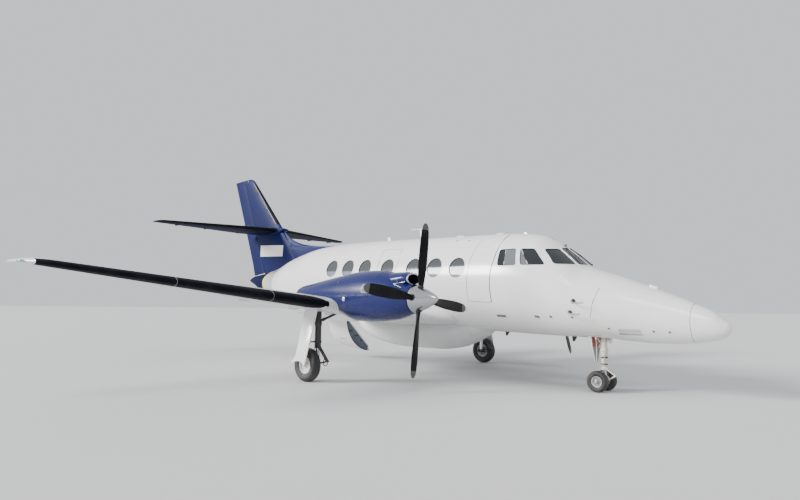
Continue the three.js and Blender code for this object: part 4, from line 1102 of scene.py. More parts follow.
def bandedSheet(rings, proud):
    # open strip through lines of points, thickened inwards, with a band value across it
    across = len(rings[0])
    bpy.ops.mesh.primitive_grid_add(x_subdivisions=across - 1, y_subdivisions=len(rings) - 1, size=2)
    piece = bpy.context.object
    for vertex in piece.data.vertices:
        vertex.co = rings[vertex.index // across][vertex.index % across]
    band = piece.data.attributes.new("band", "FLOAT", "POINT")
    band.data.foreach_set("value",
                          [(vertex.index % across) / (across - 1) for vertex in piece.data.vertices])
    startEdit(piece)
    bpy.ops.mesh.normals_make_consistent(inside=False)
    endEdit()
    middle = piece.data.polygons[len(piece.data.polygons) // 2]
    centre = sum((Vector(place) for ring in rings for place in ring), Vector()) / (across * len(rings))
    if (middle.center - centre).dot(middle.normal) < 0:
        startEdit(piece)
        bpy.ops.mesh.flip_normals()
        endEdit()
    return modify(piece, "SOLIDIFY", thickness=proud * 1.6, offset=-1)


def wingHinge(y):
    return wing["hinge"]


def elevatorHinge(y):
    lead, chord = foilRow(tail["rows"], y)[:2]
    return (tail["hingeS"] - lead) / chord


def bothSides(piece, name, bodies, material, replaced=None, smooth=32):
    # the port piece and its starboard twin
    twin = twinOf(piece)
    for made, side, body in ((piece, "left", bodies[0]), (twin, "right", bodies[1])):
        finished(made, f"{name}.{side}", body, material,
                 [f"{node}_{side}" for node in replaced or ()], smooth)
    return piece, twin


root = ("airframe", "airframe")
flapFrom, flapTo = wing["flap"]
aileronFrom, aileronTo = wing["aileron"]
wingPlaces = [wing["root"], flapFrom, 2.5, 3.7, flapTo, aileronFrom, 6.2, aileronTo, wing["bend"], 7.68,
              7.76, 7.81, 7.86, 7.895, 7.925]
wingSkin = foilBody(wing["rows"], wingPlaces, wing["chordPoints"], wing["camber"])
carve(wingSkin, [surfaceBay(wing["rows"], flapFrom, flapTo, wingHinge, .0003, wing["camber"]),
                 surfaceBay(wing["rows"], aileronFrom - wing["endGap"], aileronTo + wing["endGap"],
                            wingHinge, wing["gap"],
                            wing["camber"])])
glovePlaces = stationsBetween(.42, 2.15, .12)
glove = pulledRings([[foilPoint([(y, *along(wing["gloveRows"], y)),
                                 (y + 1, *along(wing["gloveRows"], y))], y, x, side)
                      for side,
                      x in [*((1, (1 - math.cos(math.pi * k / 16)) / 2) for k in range(16, -1, -1)),
                            *((-1, (1 - math.cos(math.pi * k / 16)) / 2) for k in range(1, 17))]]
                     for y in glovePlaces])
bothSides(glove, "wingGlove", root, wingPaint, None, 50)
bothSides(wingSkin, "wingSkin", root, wingPaint, ["wing"])
flapSkin = movingSurface(wing["rows"], flapFrom + .0003, flapTo - .0003, wingHinge, wing["camber"])
bothSides(flapSkin, "flapSkin", root, wingPaint, ["flap"])
aileronSkin = movingSurface(wing["rows"], aileronFrom, aileronTo, wingHinge, wing["camber"])
bothSides(aileronSkin, "aileronSkin", ("aileron_left", "aileron_right"), wingPaint,
          ["aileron"])
wingBoot = leadingBoot(wing["rows"], wing["bootFrom"], wing["bootTo"], *wing["bootShares"],
                       wing["camber"], point=.3)
bothSides(wingBoot, "wingBoot", root, boots)
print("wings ready")

# Nacelles, port side first
nacelle = {
    "y": 2.5, "thrust": 1.59, "sides": 64,
    "rows": [(4.32, 1.83, 1.345, .243), (4.4, 1.88, 1.315, .276), (4.56, 1.96, 1.262, .325),
             (4.7, 2.03, 1.225, .355),
             (5, 2.1, 1.19, .392),
             (5.3, 2.117, 1.172, .408), (5.7, 2.103, 1.176, .415), (6.13, 2.046, 1.31, .41),
             (6.6, 1.978, 1.39, .388),
             (7, 1.915, 1.4, .352), (7.25, 1.88, 1.412, .32), (7.33, 1.862, 1.425, .296)],
    "scoopRows": [(4.37, 2.04, 1.826, .19), (4.445, 2.06, 1.822, .212), (4.7, 2.066, 1.76, .235),
                  (5.05, 2.04, 1.75, .2)],
    "mouth": {"z": 1.933, "half": .16, "high": .084, "to": 4.76},
    "tailpipe": {"s": 7.24, "z": 1.69, "half": .12, "high": .08},
}


def ovalBarX(z, half, high, start, end, sides=40):
    # oval bar along the nacelle
    rows = [(start, z + high, z - high, half), (end, z + high, z - high, half)]
    return hull(rows, start, end, end - start, sides, centreY=nacelle["y"])


nacelleSkin = hull(nacelle["rows"], 4.32, 7.33, .07, nacelle["sides"], centreY=nacelle["y"])
carve(nacelleSkin, [hull(nacelle["scoopRows"], 4.37, 5.05, .05, 48, centreY=nacelle["y"])], "UNION")
mouth, pipe = nacelle["mouth"], nacelle["tailpipe"]
carve(nacelleSkin, [ovalBarX(mouth["z"], mouth["half"], mouth["high"], 4.3, mouth["to"]),
                    ovalBarX(pipe["z"], pipe["half"], pipe["high"], pipe["s"], 7.5)])
nacelleSkins = bothSides(nacelleSkin, "nacelleSkin", root, bluePaint, ["nacelle"], 40)
for made in nacelleSkins:
    paintWhere(made, intakeBlack, lambda middle, normal: noseX - middle.x < mouth["to"] + .01
               and ((abs(middle.y) - nacelle["y"]) / (mouth["half"] + .003)) ** 2
               + ((middle.z - mouth["z"]) / (mouth["high"] + .003)) ** 2 < 1)
    paintWhere(made, sootMetal, lambda middle, normal: noseX - middle.x > pipe["s"] - .01
               and ((abs(middle.y) - nacelle["y"]) / (pipe["half"] + .003)) ** 2
               + ((middle.z - pipe["z"]) / (pipe["high"] + .003)) ** 2 < 1)


def ovalRing(s, z, half, high, thick, deep, steps=56):
    # rounded lip round an oval hole
    rings = []
    for k in range(steps):
        turn = 2 * math.pi * k / steps
        rings.append([at(s + deep * math.sin(lap) * .5,
                         nacelle["y"] + (half + thick * .5 * math.cos(lap)) * math.cos(turn),
                         z + (high + thick * .5 * math.cos(lap)) * math.sin(turn))
                      for lap in (2 * math.pi * step / 10 for step in range(10))])
    lip = pulledRings([*rings, rings[0]], False)
    startEdit(lip)
    bpy.ops.mesh.remove_doubles(threshold=1e-5)
    bpy.ops.mesh.normals_make_consistent(inside=False)
    endEdit()
    return turnOutwards(lip)


bothSides(ovalRing(4.372, mouth["z"], mouth["half"] + .011, mouth["high"] + .011, .026, .05),
          "intakeLip", root, leadingMetal,
          None, 60)
bothSides(ovalRing(7.33, pipe["z"], pipe["half"] + .004, pipe["high"] + .004, .012, .09), "tailpipeLip",
          root, sootMetal,
          None, 60)
print("nacelles ready")

# Propellers with polished spinners
propeller = {
    "hubS": 4.22, "blades": 4, "lean": {"left": .46, "right": -.12},
    "spinner": [(3.805, .004), (3.812, .017), (3.832, .04), (3.88, .075), (3.96, .117), (4.06, .162),
                (4.14, .192)],
    "hub": [(4.1403, .192), (4.22, .222), (4.285, .243), (4.297, .243), (4.3, .238)],
    "bladeRows": [(.12, .092, .088, 34), (.26, .104, .074, 30), (.42, .146, .046, 23),
                  (.7, .19, .03, 14),
                  (1, .196, .02, 8), (1.25, .16, .013, 5), (1.32, .115, .01, 4.2),
                  (1.345, .045, .008, 4)],
}


def roundBody(rows, centreY, z, step, sides):
    places = sorted({*stationsBetween(rows[0][0], rows[-1][0], step), *(row[0] for row in rows)})
    turns = [2 * math.pi * (k + .5) / sides for k in range(sides)]
    return pulledRings([[at(s, centreY + along(rows, s)[0] * math.cos(turn),
                            z + along(rows, s)[0] * math.sin(turn))
                         for turn in turns] for s in places])


def bladeRing(radius, chord, depth, pitch, points=20):
    # section with a round nose and thin tail, set at its pitch
    pitch = math.radians(pitch)
    ring = []
    for k in range(points):
        turn = 2 * math.pi * k / points
        across = .5 * chord * math.cos(turn)
        through = .5 * depth * math.sin(turn) * (1 + .25
                                                 * math.cos(turn)) + .12 * depth * math.cos(turn) ** 2
        ring.append(Vector((across * math.sin(pitch) + through * math.cos(pitch),
                            across * math.cos(pitch) - through * math.sin(pitch), radius)))
    return ring


for side, lean in propeller["lean"].items():
    # both turn the same way, so neither is the twin of the other
    blades, cuffs = [], []
    for number in range(propeller["blades"]):
        oneBlade = pulledRings([bladeRing(r, *along(propeller["bladeRows"], r)) for r in
                                sorted({*stationsBetween(.12, 1.345, .055), 1.335, 1.342})])
        cuff = spunRing([(.046, .17), (.062, .172), (.064, .2), (.058, .226), (.046, .228)], (0, 0, 0),
                        "Z", 28)
        for made in (oneBlade, cuff):
            turned(made, lean + number * 2 * math.pi / propeller["blades"], "X")
            shifted(made, at(propeller["hubS"], nacelle["y"] * (1 if side == "left" else -1),
                             nacelle["thrust"]))
        blades.append(oneBlade)
        cuffs.append(cuff)
    finished(joined(blades), f"propellerBlades.{side}", f"propeller_{side}", blade,
             [f"propeller_{side}"], 50)
    finished(joined(cuffs), f"bladeCuffs.{side}", f"propeller_{side}", sealRubber,
             smooth=40)
spin = ("propeller_left", "propeller_right")
spinnerSkin = roundBody(propeller["spinner"], nacelle["y"], nacelle["thrust"], .03, 64)
bothSides(spinnerSkin, "spinnerSkin", spin, spinnerMetal, ["spinner"], 50)
backShell = roundBody(propeller["hub"], nacelle["y"], nacelle["thrust"], .05, 64)
bothSides(backShell, "spinnerBackShell", spin, spinnerMetal, None, 50)
print("propellers ready")

# Fin, rudder, tailplane and elevators
fin = {
    "rows": [(2.2, 10.302, .235), (3.783, 11.8, .185), (4.786, 12.75, .138), (5.29, 13.227, .108),
             (5.34, 13.276, .1),
             (5.38, 13.33, .092), (5.415, 13.41, .07), (5.44, 13.52, .04)],
    "dorsalRows": [(2.65, 9.04, .15), (3.04, 9.08, .13), (3.068, 9.7, .122), (3.093, 10.08, .115),
                   (3.175, 10.7, .105),
                   (3.372, 11.27, .096), (3.79, 11.83, .07)],
    "dorsalEnd": 12.3, "foot": (12.56, 2.445), "head": (13.853, 5.43), "trail": (13.105, 14.37),
    "drop": .09, "gap": .006, "points": 18,
}
finSpan = fin["head"][1] - fin["foot"][1]


def hingeLine(z):
    return fin["foot"][0] + (fin["head"][0] - fin["foot"][0]) * (z - fin["foot"][1]) / finSpan


def trailLine(z):
    return fin["trail"][0] + (fin["trail"][1] - fin["trail"][0]) * (z - fin["foot"][1]) / finSpan


def finValue(z, column):
    rows = fin["rows"]
    i = next((k for k, row in enumerate(rows) if row[0] > z), len(rows) - 1) - 1
    return rows[i][column] + (rows[i + 1][column]
                              - rows[i][column]) * (z - rows[i][0]) / (rows[i + 1][0] - rows[i][0])


def rudderRadius(z):
    lead = finValue(min(z, 5.38), 1)
    return halfDepth((hingeLine(z) - lead) / (trailLine(z) - lead), finValue(min(z, 5.38), 2))


def finRing(z, lead, depth):
    chord = max(trailLine(z) - lead, .5)
    end = hingeLine(z) - rudderRadius(min(z, 5.38)) - fin["gap"]
    shares = [(1 - math.cos(math.pi * k / fin["points"] / 2)) for k in range(fin["points"] + 1)]
    sides = [[at(lead + t * (end - lead), side * halfDepth(min(1, t * (end - lead) / chord), depth), z)
              for t in shares]
             for side in (1, -1)]
    return [*reversed(sides[0]), *sides[1][1:]]


def dorsalRing(z, lead, depth):
    reach = min(.6, .8 * (fin["dorsalEnd"] - lead))
    shares = [1, .8, .6, .42, .28, .17, .09, .04, .01]
    sides = [[at(lead + t * reach, side * .5 * depth * math.sqrt(t), z) for t in shares]
             for side in (1, -1)]
    end = [at(fin["dorsalEnd"], side * .5 * depth, z) for side in (1, -1)]
    return [end[0], *sides[0], at(lead, 0, z), *reversed(sides[1]), end[1]]


finSkin = pulledRings([finRing(z, finValue(z, 1), finValue(z, 2)) for z in
                       sorted({2.2, 2.6, 3, 3.4, *(row[0] for row in fin["rows"])})])
dorsalPlaces = sorted({*stationsBetween(2.65, 3.79, .06), *(row[0] for row in fin["dorsalRows"])})
dorsal = pulledRings([dorsalRing(z, *along(fin["dorsalRows"], z)) for z in dorsalPlaces])
finTool = hull(body, 8.9, fuselage["end"], .1, 48, grow=-.02)
carve(finSkin, [dorsal], "UNION")
carve(finSkin, [finTool])
fixed(finSkin, "finSkin", finBlue, ["fin"])

rudderRings = []
for z in stationsBetween(fin["foot"][1], fin["head"][1], .3):
    radius, middle = rudderRadius(min(z, 5.38)), hingeLine(z)
    turns = [math.pi * (.5 - k / 10) for k in range(11)]
    low = z - (fin["drop"] if z == fin["foot"][1] else 0)
    rudderRings.append([at(trailLine(z), .004, low),
                        *(at(middle - radius * math.cos(turn), radius * math.sin(turn), z)
                          for turn in turns), at(trailLine(z), -.004, low)])
rudderSkin = pulledRings(rudderRings)
finished(rudderSkin, "rudderSkin", "rudder", finBlue, ["rudder"])

tailPlaces = [.02, .6, 1.4, 2.2, 3.15, 3.2, 3.25, 3.28, 3.3]
tailplaneSkin = foilBody(tail["rows"], tailPlaces, 18)
elevatorFrom, elevatorTo = tail["elevator"]
carve(tailplaneSkin,
      [surfaceBay(tail["rows"], -.05, elevatorTo + tail["gap"], elevatorHinge, tail["gap"])])
# tailplanes and elevators take the darkened blue, which is partly painted shade
bothSides(tailplaneSkin, "tailplaneSkin", root, shadedTailBlue, ["tailplane"])
slope = math.tan(math.radians(tail["rootAngle"]))
elevatorSkin = movingSurface(tail["rows"], .06, elevatorTo, elevatorHinge)
carve(elevatorSkin, [prism([(tail["hingeS"] - .12, -.06), (tail["hingeS"] - .12, elevatorFrom),
                            (tail["hingeS"], elevatorFrom),
                            (tail["hingeS"] + .8, elevatorFrom + .8 * slope),
                            (tail["hingeS"] + .8, -.06)], "z", 3.4, 3.9)])
bothSides(elevatorSkin, "elevatorSkin", ("elevator", "elevator"), shadedTailBlue, ["elevator"])
bothSides(leadingBoot(tail["rows"], .2, 3.27, .1, .11), "tailplaneBoot", root, boots)

finBootRings = []
for z in stationsBetween(3.86, 5.24, .1):
    lead, depth = finValue(z, 1), finValue(z, 2)
    chord = trailLine(z) - lead
    shares = [.07 * (1 - k / 10) ** 2 for k in range(10)]
    ring = [at(lead + x * chord, halfDepth(x, depth) + .002, z) for x in shares]
    finBootRings.append([*ring, at(lead - .003, 0, z),
                         *(Vector((p.x, -p.y, p.z)) for p in reversed(ring))])
fixed(bandedSheet(finBootRings, .002), "finBoot", finBoots)
ventral = prism([(11.85, 1.9), (12.6, 2.05), (12.92, 2.08), (12.95, 1.99), (12.3, 1.7)], "y", -.02, .02)
eased(ventral, .008)
fixed(ventral, "ventralFinSkin", finBlue, ["ventral_fin"])
print("tail ready")

# Main legs, wheels and leg doors, port side first
mainGear = {"s": 6.66, "legS": 6.6, "legY": 2.775, "wheelY": 2.97, "tyre": .32, "axle": .026,
            "knee": (6.3, .395),
            "tyreSteps": 44, "bolts": 9, "rimHoles": 8, "loop": (6.43, .36, .062)}


def tyreRing(radius, half, bore, centre, steps):
    # tyre with one groove at each side of the tread, spun round its axle
    edge = [(bore, .7), (bore + .12 * radius, .9), (.78 * radius, 1), (.9 * radius, .93),
            (.965 * radius, .72),
            (radius, .42), (radius, .2), (.988 * radius, .15)]
    profile = [(r, -share * half) for r, share in edge] + [(r, share * half) for r,
                                                           share in reversed(edge)]
    return spunRing(profile, centre, "Y", steps)


def wheelDisc(bore, rim, half, centre, hub, holes, holeAt, holeRadius, bolts):
    # dished wheel with a rolled edge, holes round it and bolts round the hub
    disc = spunRing([(bore, -.6 * half), (hub, -.58 * half), (hub * 1.15, -.3 * half),
                     (rim * .86, -.36 * half),
                     (rim * .92, -.66 * half), (rim * .99, -.69 * half), (rim, -.62 * half),
                     (rim, .62 * half),
                     (rim * .99, .69 * half), (rim * .92, .66 * half), (rim * .86, .36 * half),
                     (hub * 1.15, .3 * half),
                     (hub, .58 * half), (bore, .6 * half)], centre, "Y", 48)
    spots = [(math.cos(2 * math.pi * k / holes), math.sin(2 * math.pi * k / holes))
             for k in range(holes)]
    cutters = [bar(Vector(centre) + Vector((holeAt * x, -half, holeAt * z)),
                   Vector(centre) + Vector((holeAt * x, half, holeAt * z)),
                   holeRadius, 20, edge=0) for x, z in spots]
    carve(disc, [joined(cutters)])
    nuts = []
    for k in range(bolts):
        turn = 2 * math.pi * (k + .5) / bolts
        spot = Vector(centre) + Vector((hub * 1.42 * math.cos(turn), .3 * half,
                                        hub * 1.42 * math.sin(turn)))
        nuts.append(bar(spot, spot + Vector((0, .16 * half, 0)), .09 * hub, 6, edge=.15))
    return disc, joined(nuts)


wheelY = mainGear["wheelY"]
wheelHub = at(mainGear["s"], wheelY, mainGear["tyre"])
mainBodies = ("main_wheel_left", "main_wheel_right")
bothSides(tyreRing(mainGear["tyre"], .1, .164, wheelHub, mainGear["tyreSteps"]), "mainTyre", mainBodies,
          tyreRubber,
          ["main_wheel"], 50)
disc, nuts = wheelDisc(.0268, .166, .1, wheelHub, .05, mainGear["rimHoles"], .112, .013,
                       mainGear["bolts"])
bothSides(disc, "mainRim", mainBodies, rimWhite, None, 34)
bothSides(nuts, "mainRimBolts", mainBodies, brightSteel)


def scissor(start, knee, end, y, half, thick):
    # two flat links with lightening holes and a pin at their knee
    links = []
    for first, last in ((start, knee), (knee, end)):
        way = (Vector(last) - Vector(first)).normalized()
        across = Vector((-way.y, way.x)) * thick
        links.append(prism([Vector(first) + across, Vector(last) + across, Vector(last) - across,
                            Vector(first) - across],
                           "y", y - half, y + half))
        eased(links[-1], thick * .5)
        low, high = Vector(first).lerp(Vector(last), .26), Vector(first).lerp(Vector(last), .74)
        carve(links[-1],
              [prism([low + across * 3, high + across * 3, high - across * 3, low - across * 3], "y",
                     y - half * .45, y + half * .45, thick * .4, 3)])
    pin = bar(at(knee[0], y - half * 1.15, knee[1]), at(knee[0], y + half * 1.15, knee[1]), thick * .9,
              20)
    return joined([*links, pin])


def upright(s, y, low, high, radius, edge=.1, sides=40):
    return bar(at(s, y, low), at(s, y, high), radius, sides, edge=edge)


legS, legY, axleZ = mainGear["legS"], mainGear["legY"], mainGear["tyre"]
# the main leg housing is near-black: partly its own dark paint, partly painted shade for the shadow
# under the wing it stands in
housing = joined([
    upright(legS, legY, .64, 1.36, .063),
    upright(legS, legY, .635, .675, .067, .15),
    upright(legS, legY, 1.06, 1.13, .07, .15),
    bar(at(legS, legY, 1.14), at(legS - .06, legY - .48, 1.33), .025, 24),
    bar(at(legS - .012, legY - .1, 1.18), at(legS - .018, legY - .15, 1.2), .033, 24)])
bothSides(housing, "mainLegHousing", root, gearDark, ["main_leg"], 35)
bothSides(upright(legS, legY, .36, .64, .043, 0), "mainLegPiston", root, brightSteel)
foot = joined([
    slab(at(mainGear["s"] + .044, legY - .043, .277), at(legS - .05, legY + .043, .364), .014, 3),
    bar(at(mainGear["s"], legY - .046, axleZ), at(mainGear["s"], legY + .07, axleZ), .046, 32),
    scissor((legS - .03, .68), mainGear["knee"], (legS - .02, .335), legY, .034, .014)])
bothSides(foot, "mainLegFoot", root, gearDark)
loopS, loopZ, loopRadius = mainGear["loop"]
loop = spunRing([(loopRadius + .009 * math.cos(math.pi * k / 5), .009 * math.sin(math.pi * k / 5))
                 for k in range(10)],
                at(loopS, legY - .056, loopZ), "Y", 32)
bothSides(loop, "mainLegCableLoop", root, hoseRubber, None, 60)
axle = joined([
    bar(at(mainGear["s"], legY, axleZ), at(mainGear["s"], wheelY + .082, axleZ), mainGear["axle"], 32,
        edge=.05),
    bar(at(mainGear["s"], wheelY + .064, axleZ), at(mainGear["s"], wheelY + .088, axleZ), .036, 6,
        edge=.08)])
bothSides(axle, "mainAxle", root, brightSteel)
brakes = {"y": 2.868, "pistonsAt": .09, "pistonFrom": 2.83, "pistonTo": 2.86, "pistonRadius": .021,
          "pistonTurns": (.6, 1.6, 2.6, 3.6, 4.6),
          "outline": [(.045, -.02), (.115, -.02), (.121, -.014), (.121, .002), (.115, .008),
                      (.045, .008)]}


def brakePiston(turn):
    s = mainGear["s"] + brakes["pistonsAt"] * math.cos(turn)
    z = axleZ + brakes["pistonsAt"] * math.sin(turn)
    return bar(at(s, brakes["pistonFrom"], z), at(s, brakes["pistonTo"], z), brakes["pistonRadius"], 20)


brake = joined([spunRing(brakes["outline"], at(mainGear["s"], brakes["y"], axleZ), "Y", 44),
                *(brakePiston(turn) for turn in brakes["pistonTurns"])])
bothSides(brake, "mainBrake", root, fittingGrey)
hose = wire(bead([at(legS + .062, legY, 1.2), at(legS + .078, legY + .01, .9),
                  at(legS + .075, legY + .02, .6),
                  at(legS + .13, legY + .03, .47), at(legS + .1, legY + .045, .36)]), .0075)
bothSides(hose, "mainBrakeHose", root, hoseRubber, None, 60)

legDoor = {"top": (2.9, 1.42), "foot": (3.18, .31), "thickness": .026, "strutHeights": [.76, 1.12],
           "ribTop": 1.3, "ribFeet": [(6.52, .46), (6.76, .5)], "ribHeights": [.55, .95, 1.22],
           "ribSink": .002,
           "outline": [(6.839, 1.42), (6.454, 1.42), (6.466, .9), (6.478, .31), (6.56, .38),
                       (6.68, .402), (6.8, .385),
                       (6.905, .335), (6.8, .5), (6.812, .9)]}


def doorLine(z):
    (topY, topZ), (footY, footZ) = legDoor["top"], legDoor["foot"]
    return topY + (topZ - z) / (topZ - footZ) * (footY - topY)


panel = pulledRings([[at(s, doorLine(z) + over, z) for s, z in legDoor["outline"]]
                     for over in (0, legDoor["thickness"])])
eased(panel, .006)
bothSides(panel, "legDoorPanel", root, whitePaint, ["leg_door"])


def ribPoint(s, z):
    return at(s, doorLine(z) - legDoor["ribSink"], z)


foreRib, aftRib = (s for s, low in legDoor["ribFeet"])
ribs = joined([
    *(bar(ribPoint(s, legDoor["ribTop"]), ribPoint(s, low), .01, 12) for s, low in legDoor["ribFeet"]),
    *(bar(ribPoint(foreRib, z), ribPoint(aftRib, z), .009, 12) for z in legDoor["ribHeights"])])
bothSides(ribs, "legDoorRibs", root, whitePaint, None, 50)
stays = []
for z in legDoor["strutHeights"]:
    stays += [bar(at(legS - .01, legY + .055, z), at(legS, doorLine(z) + .002, z), .0145, 20),
              upright(legS, legY, z - .024, z + .024, .072, .1, 36)]
bothSides(joined(stays), "legDoorStays", root, gearDark)
print("main gear ready")

# Nose leg, steered fork, twin wheels and the two doors
noseGear = {"s": 2.1, "legS": 2.045, "wheelY": .178, "tyre": .185, "half": .071, "axle": .022,
            "tyreSteps": 40, "bolts": 6}
noseS = noseGear["legS"]
upperLeg = joined([
    upright(noseS, 0, .452, 1.19, .055),
    upright(noseS, 0, .7, .76, .069, .18),
    upright(noseS, 0, .97, 1.01, .063, .18),
    bar(at(noseS, -.2, 1.12), at(noseS, .2, 1.12), .029, 28),
    *(bar(at(noseS, side * .17, 1.12), at(noseS, side * .2, 1.12), .042, 28) for side in (1, -1)),
    bar(at(noseS + .02, 0, .785), at(2.325, 0, 1.163), .019, 24),
    slab(at(noseS + .09, -.03, .76), at(noseS + .03, .03, .82), .008)])
fixed(upperLeg, "noseLegHousing", gearCream, ["nose_leg"], 35)
bands = joined([upright(noseS, 0, z, z + deep, .0572, .06) for z, deep in ((.47, .024), (.585, .028))])
fixed(bands, "noseLegBands", sealRubber)
sideRod = joined([upright(noseS - .03, side * .062, .5, .69, .008, .12, 12) for side in (1, -1)])
fixed(sideRod, "noseSteeringJacks", brightSteel)

piston = upright(noseS, 0, .2, .448, .037, 0, 36)
finished(piston, "noseLegPiston", "nose_steering", brightSteel)
fork = joined([
    slab(at(noseGear["s"] + .034, -.043, .146), at(noseS - .039, .043, .224), .014, 3),
    bar(at(noseGear["s"], -.088, noseGear["tyre"]), at(noseGear["s"], .088, noseGear["tyre"]), .036,
        32),
    upright(noseS, 0, .382, .44, .057, .15),
    scissor((noseS - .035, .4), (noseS - .2, .29), (noseS - .03, .19), 0, .032, .0105),
    *(bar(at(noseS - .045, side * .026, .412), at(noseS - .075, side * .026, .412), .009, 12)
      for side in (1, -1))])
finished(fork, "noseFork", "nose_steering", gearCream, ["nose_fork"], 35)
noseAxle = bar(at(noseGear["s"], -.243, noseGear["tyre"]), at(noseGear["s"], .243, noseGear["tyre"]),
               noseGear["axle"] - .0004, 32,
               edge=.15)
finished(noseAxle, "noseAxle", "nose_steering", brightSteel)

noseHub = at(noseGear["s"], noseGear["wheelY"], noseGear["tyre"])
spinTwin = ("nose_wheels", "nose_wheels")
bothSides(tyreRing(noseGear["tyre"], noseGear["half"], .094, noseHub, noseGear["tyreSteps"]),
          "noseTyre", spinTwin, tyreRubber,
          ["nose_wheel"], 50)
disc, nuts = wheelDisc(.0226, .0955, noseGear["half"], noseHub, .036, 6, .068, .008, noseGear["bolts"])
noseDiscs = bothSides(disc, "noseRim", spinTwin, rimWhite, None, 34)
for made in noseDiscs:
    paintWhere(made, fittingGrey, lambda middle,
               normal: math.hypot(noseX - middle.x - noseGear["s"], middle.z - noseGear["tyre"])
               < .081)
bothSides(nuts, "noseRimBolts", spinTwin, brightSteel)

noseDoor = {"s": 2.19, "thickness": .012, "redFrom": .78,
            "outline": [(.012, .88), (.012, .52), (.034, .505), (.062, .528), (.178, .8), (.2047, .95),
                        (.2047, 1.1), (.15, 1.1)]}
leaf = prism(noseDoor["outline"], "x", noseDoor["s"], noseDoor["s"] + noseDoor["thickness"])
startEdit(leaf)
bpy.ops.mesh.bisect(plane_co=(0, 0, noseDoor["redFrom"]), plane_no=(0, 0, 1))
endEdit()
leaves = bothSides(leaf, "noseDoorLeaf", root, whitePaint, ["nose_door"])
for made in leaves:
    paintWhere(made, wellPaint, lambda middle, normal: normal.x > .7 and middle.z < noseDoor["redFrom"])
    paintWhere(made, doorRed, lambda middle, normal: normal.x > .7 and middle.z > noseDoor["redFrom"])
rim = [at(noseDoor["s"] - .002, y, z) for y, z in noseDoor["outline"][:7]]
bothSides(wire([place.lerp(at(noseDoor["s"] - .002, .1, .75), .06) for place in rim], .005,
               resolution=2), "noseDoorFrame", root,
          whitePaint, None, 60)
print("nose gear ready")

# Airstair door: made closed, then turned open about its hinge
stairs = {"inset": .07, "thick": .026, "depth": .15, "low": 1.44, "high": 2.56, "tread": .024,
          "going": .24,
          "stepHeights": [.93, .79, .65, .51], "noseY": .71, "noseZ": 1.0, "noseSlope": 1.52,
          "lugs": [9.73, 10.33], "pinReach": .046, "handle": (10.02, 1.9),
          "lugHalf": .0135, "armHalf": .0088, "pinRadius": .0088, "railRadius": .017, "skinGap": .036}


def opened(piece):
    return turned(settle(piece), -math.radians(door["swing"]), "X", (0, door["hingeY"], door["hingeZ"]))


doorPanel = doorSheet(0, door["skin"])
carve(doorPanel, [doorTool(door["gap"])], "INTERSECT")
handleS, handleZ = stairs["handle"]


def handleTool(half, high, corner=0):
    # prism through the handle's recess
    fore, aft, low, top = handleS - half, handleS + half, handleZ - high, handleZ + high
    return prism([(fore, low), (aft, low), (aft, top), (fore, top)], "y", .9, 1.1, corner)


carve(doorPanel, [handleTool(.14, .03, .02)])
opened(doorPanel)
finished(doorPanel, "doorSkin", "passenger_door", whitePaint, ["passenger_door"])
hingeMiddle = Vector((0, door["hingeY"], door["hingeZ"]))


def closedPlace(place):
    # where a point of the open door is when the door is closed
    return Matrix.Rotation(math.radians(door["swing"]), 4, "X") @ (place - hingeMiddle) + hingeMiddle


def insideDoor(middle, normal):
    shut = closedPlace(middle)
    return abs(shut.y) < sidePoint(body, noseX - shut.x, shut.z, 1).y - door["skin"] * .9


paintWhere(doorPanel, stairGrey, insideDoor)
handleBack = skinSheet(9.7, 10.3, .05, -.02, .01)
carve(handleBack, [handleTool(.142, .032)], "INTERSECT")
finished(opened(handleBack), "doorHandleBack", "passenger_door", intakeBlack)
grip = bar(at(handleS - .11, 1, handleZ), at(handleS + .11, 1, handleZ), .011, 20)
shifted(grip, (0, sidePoint(body, handleS, handleZ, 1).y - 1.016, 0))
finished(opened(grip), "doorHandle", "passenger_door", brightSteel)


def stairSide(s, z, depth):
    # (y, z) inside the closed door, depth metres in from its skin
    return sidePoint(body, s, z, 1).y - depth, z


def cheekSection(s):
    section = [stairSide(s, z, stairs["skinGap"])
               for z in stationsBetween(stairs["low"], stairs["high"], .08)]
    return section + [stairSide(s, z, stairs["depth"]) for z in (stairs["high"], stairs["low"])]


def cheekBody(fore, aft):
    # straight body between the two stations' own sections
    return pulledRings([[at(s, y, z) for y, z in cheekSection(s)] for s in (fore, aft)])


# side cheeks fill the curve of the door up to a straight inner edge
foreEdge, aftEdge = door["from"] + stairs["inset"], door["to"] - stairs["inset"]
sides = [cheekBody(s, s + stairs["thick"]) for s in (foreEdge, aftEdge - stairs["thick"])]
finished(opened(joined(sides)), "doorStringers", "passenger_door", stairGrey)
between = opened(cheekBody(foreEdge + .02, aftEdge - .02))
treads, mats, stepGapShades = [], [], []
for number, z in enumerate(stairs["stepHeights"]):
    nose = stairs["noseY"] + (stairs["noseZ"] - z) * stairs["noseSlope"]
    treads.append(slab(at(aftEdge, nose - stairs["going"], z - stairs["tread"]), at(foreEdge, nose, z),
                       .003))
    mats.append(slab(at(aftEdge - .05, nose - stairs["going"] + .03, z - .003),
                     at(foreEdge + .05, nose - .02, z + .003), .001))
    # black strips on the front end plate at each lower step: painted shade for the dark openings at the
    # step ends
    if number:
        stepGapShades.append(slab(at(foreEdge + .002, nose - .2, z - stairs["tread"]),
                          at(foreEdge - .0015, nose - .07, z), .0))
steps = carve(joined(treads), [copyOf(between)], "INTERSECT")
finished(steps, "doorSteps", "passenger_door", stairGrey)
finished(carve(joined(mats), [between], "INTERSECT"), "doorTreads", "passenger_door", sealRubber)
finished(joined(stepGapShades), "doorStepGapShades", "passenger_door", intakeBlack)
rails = []
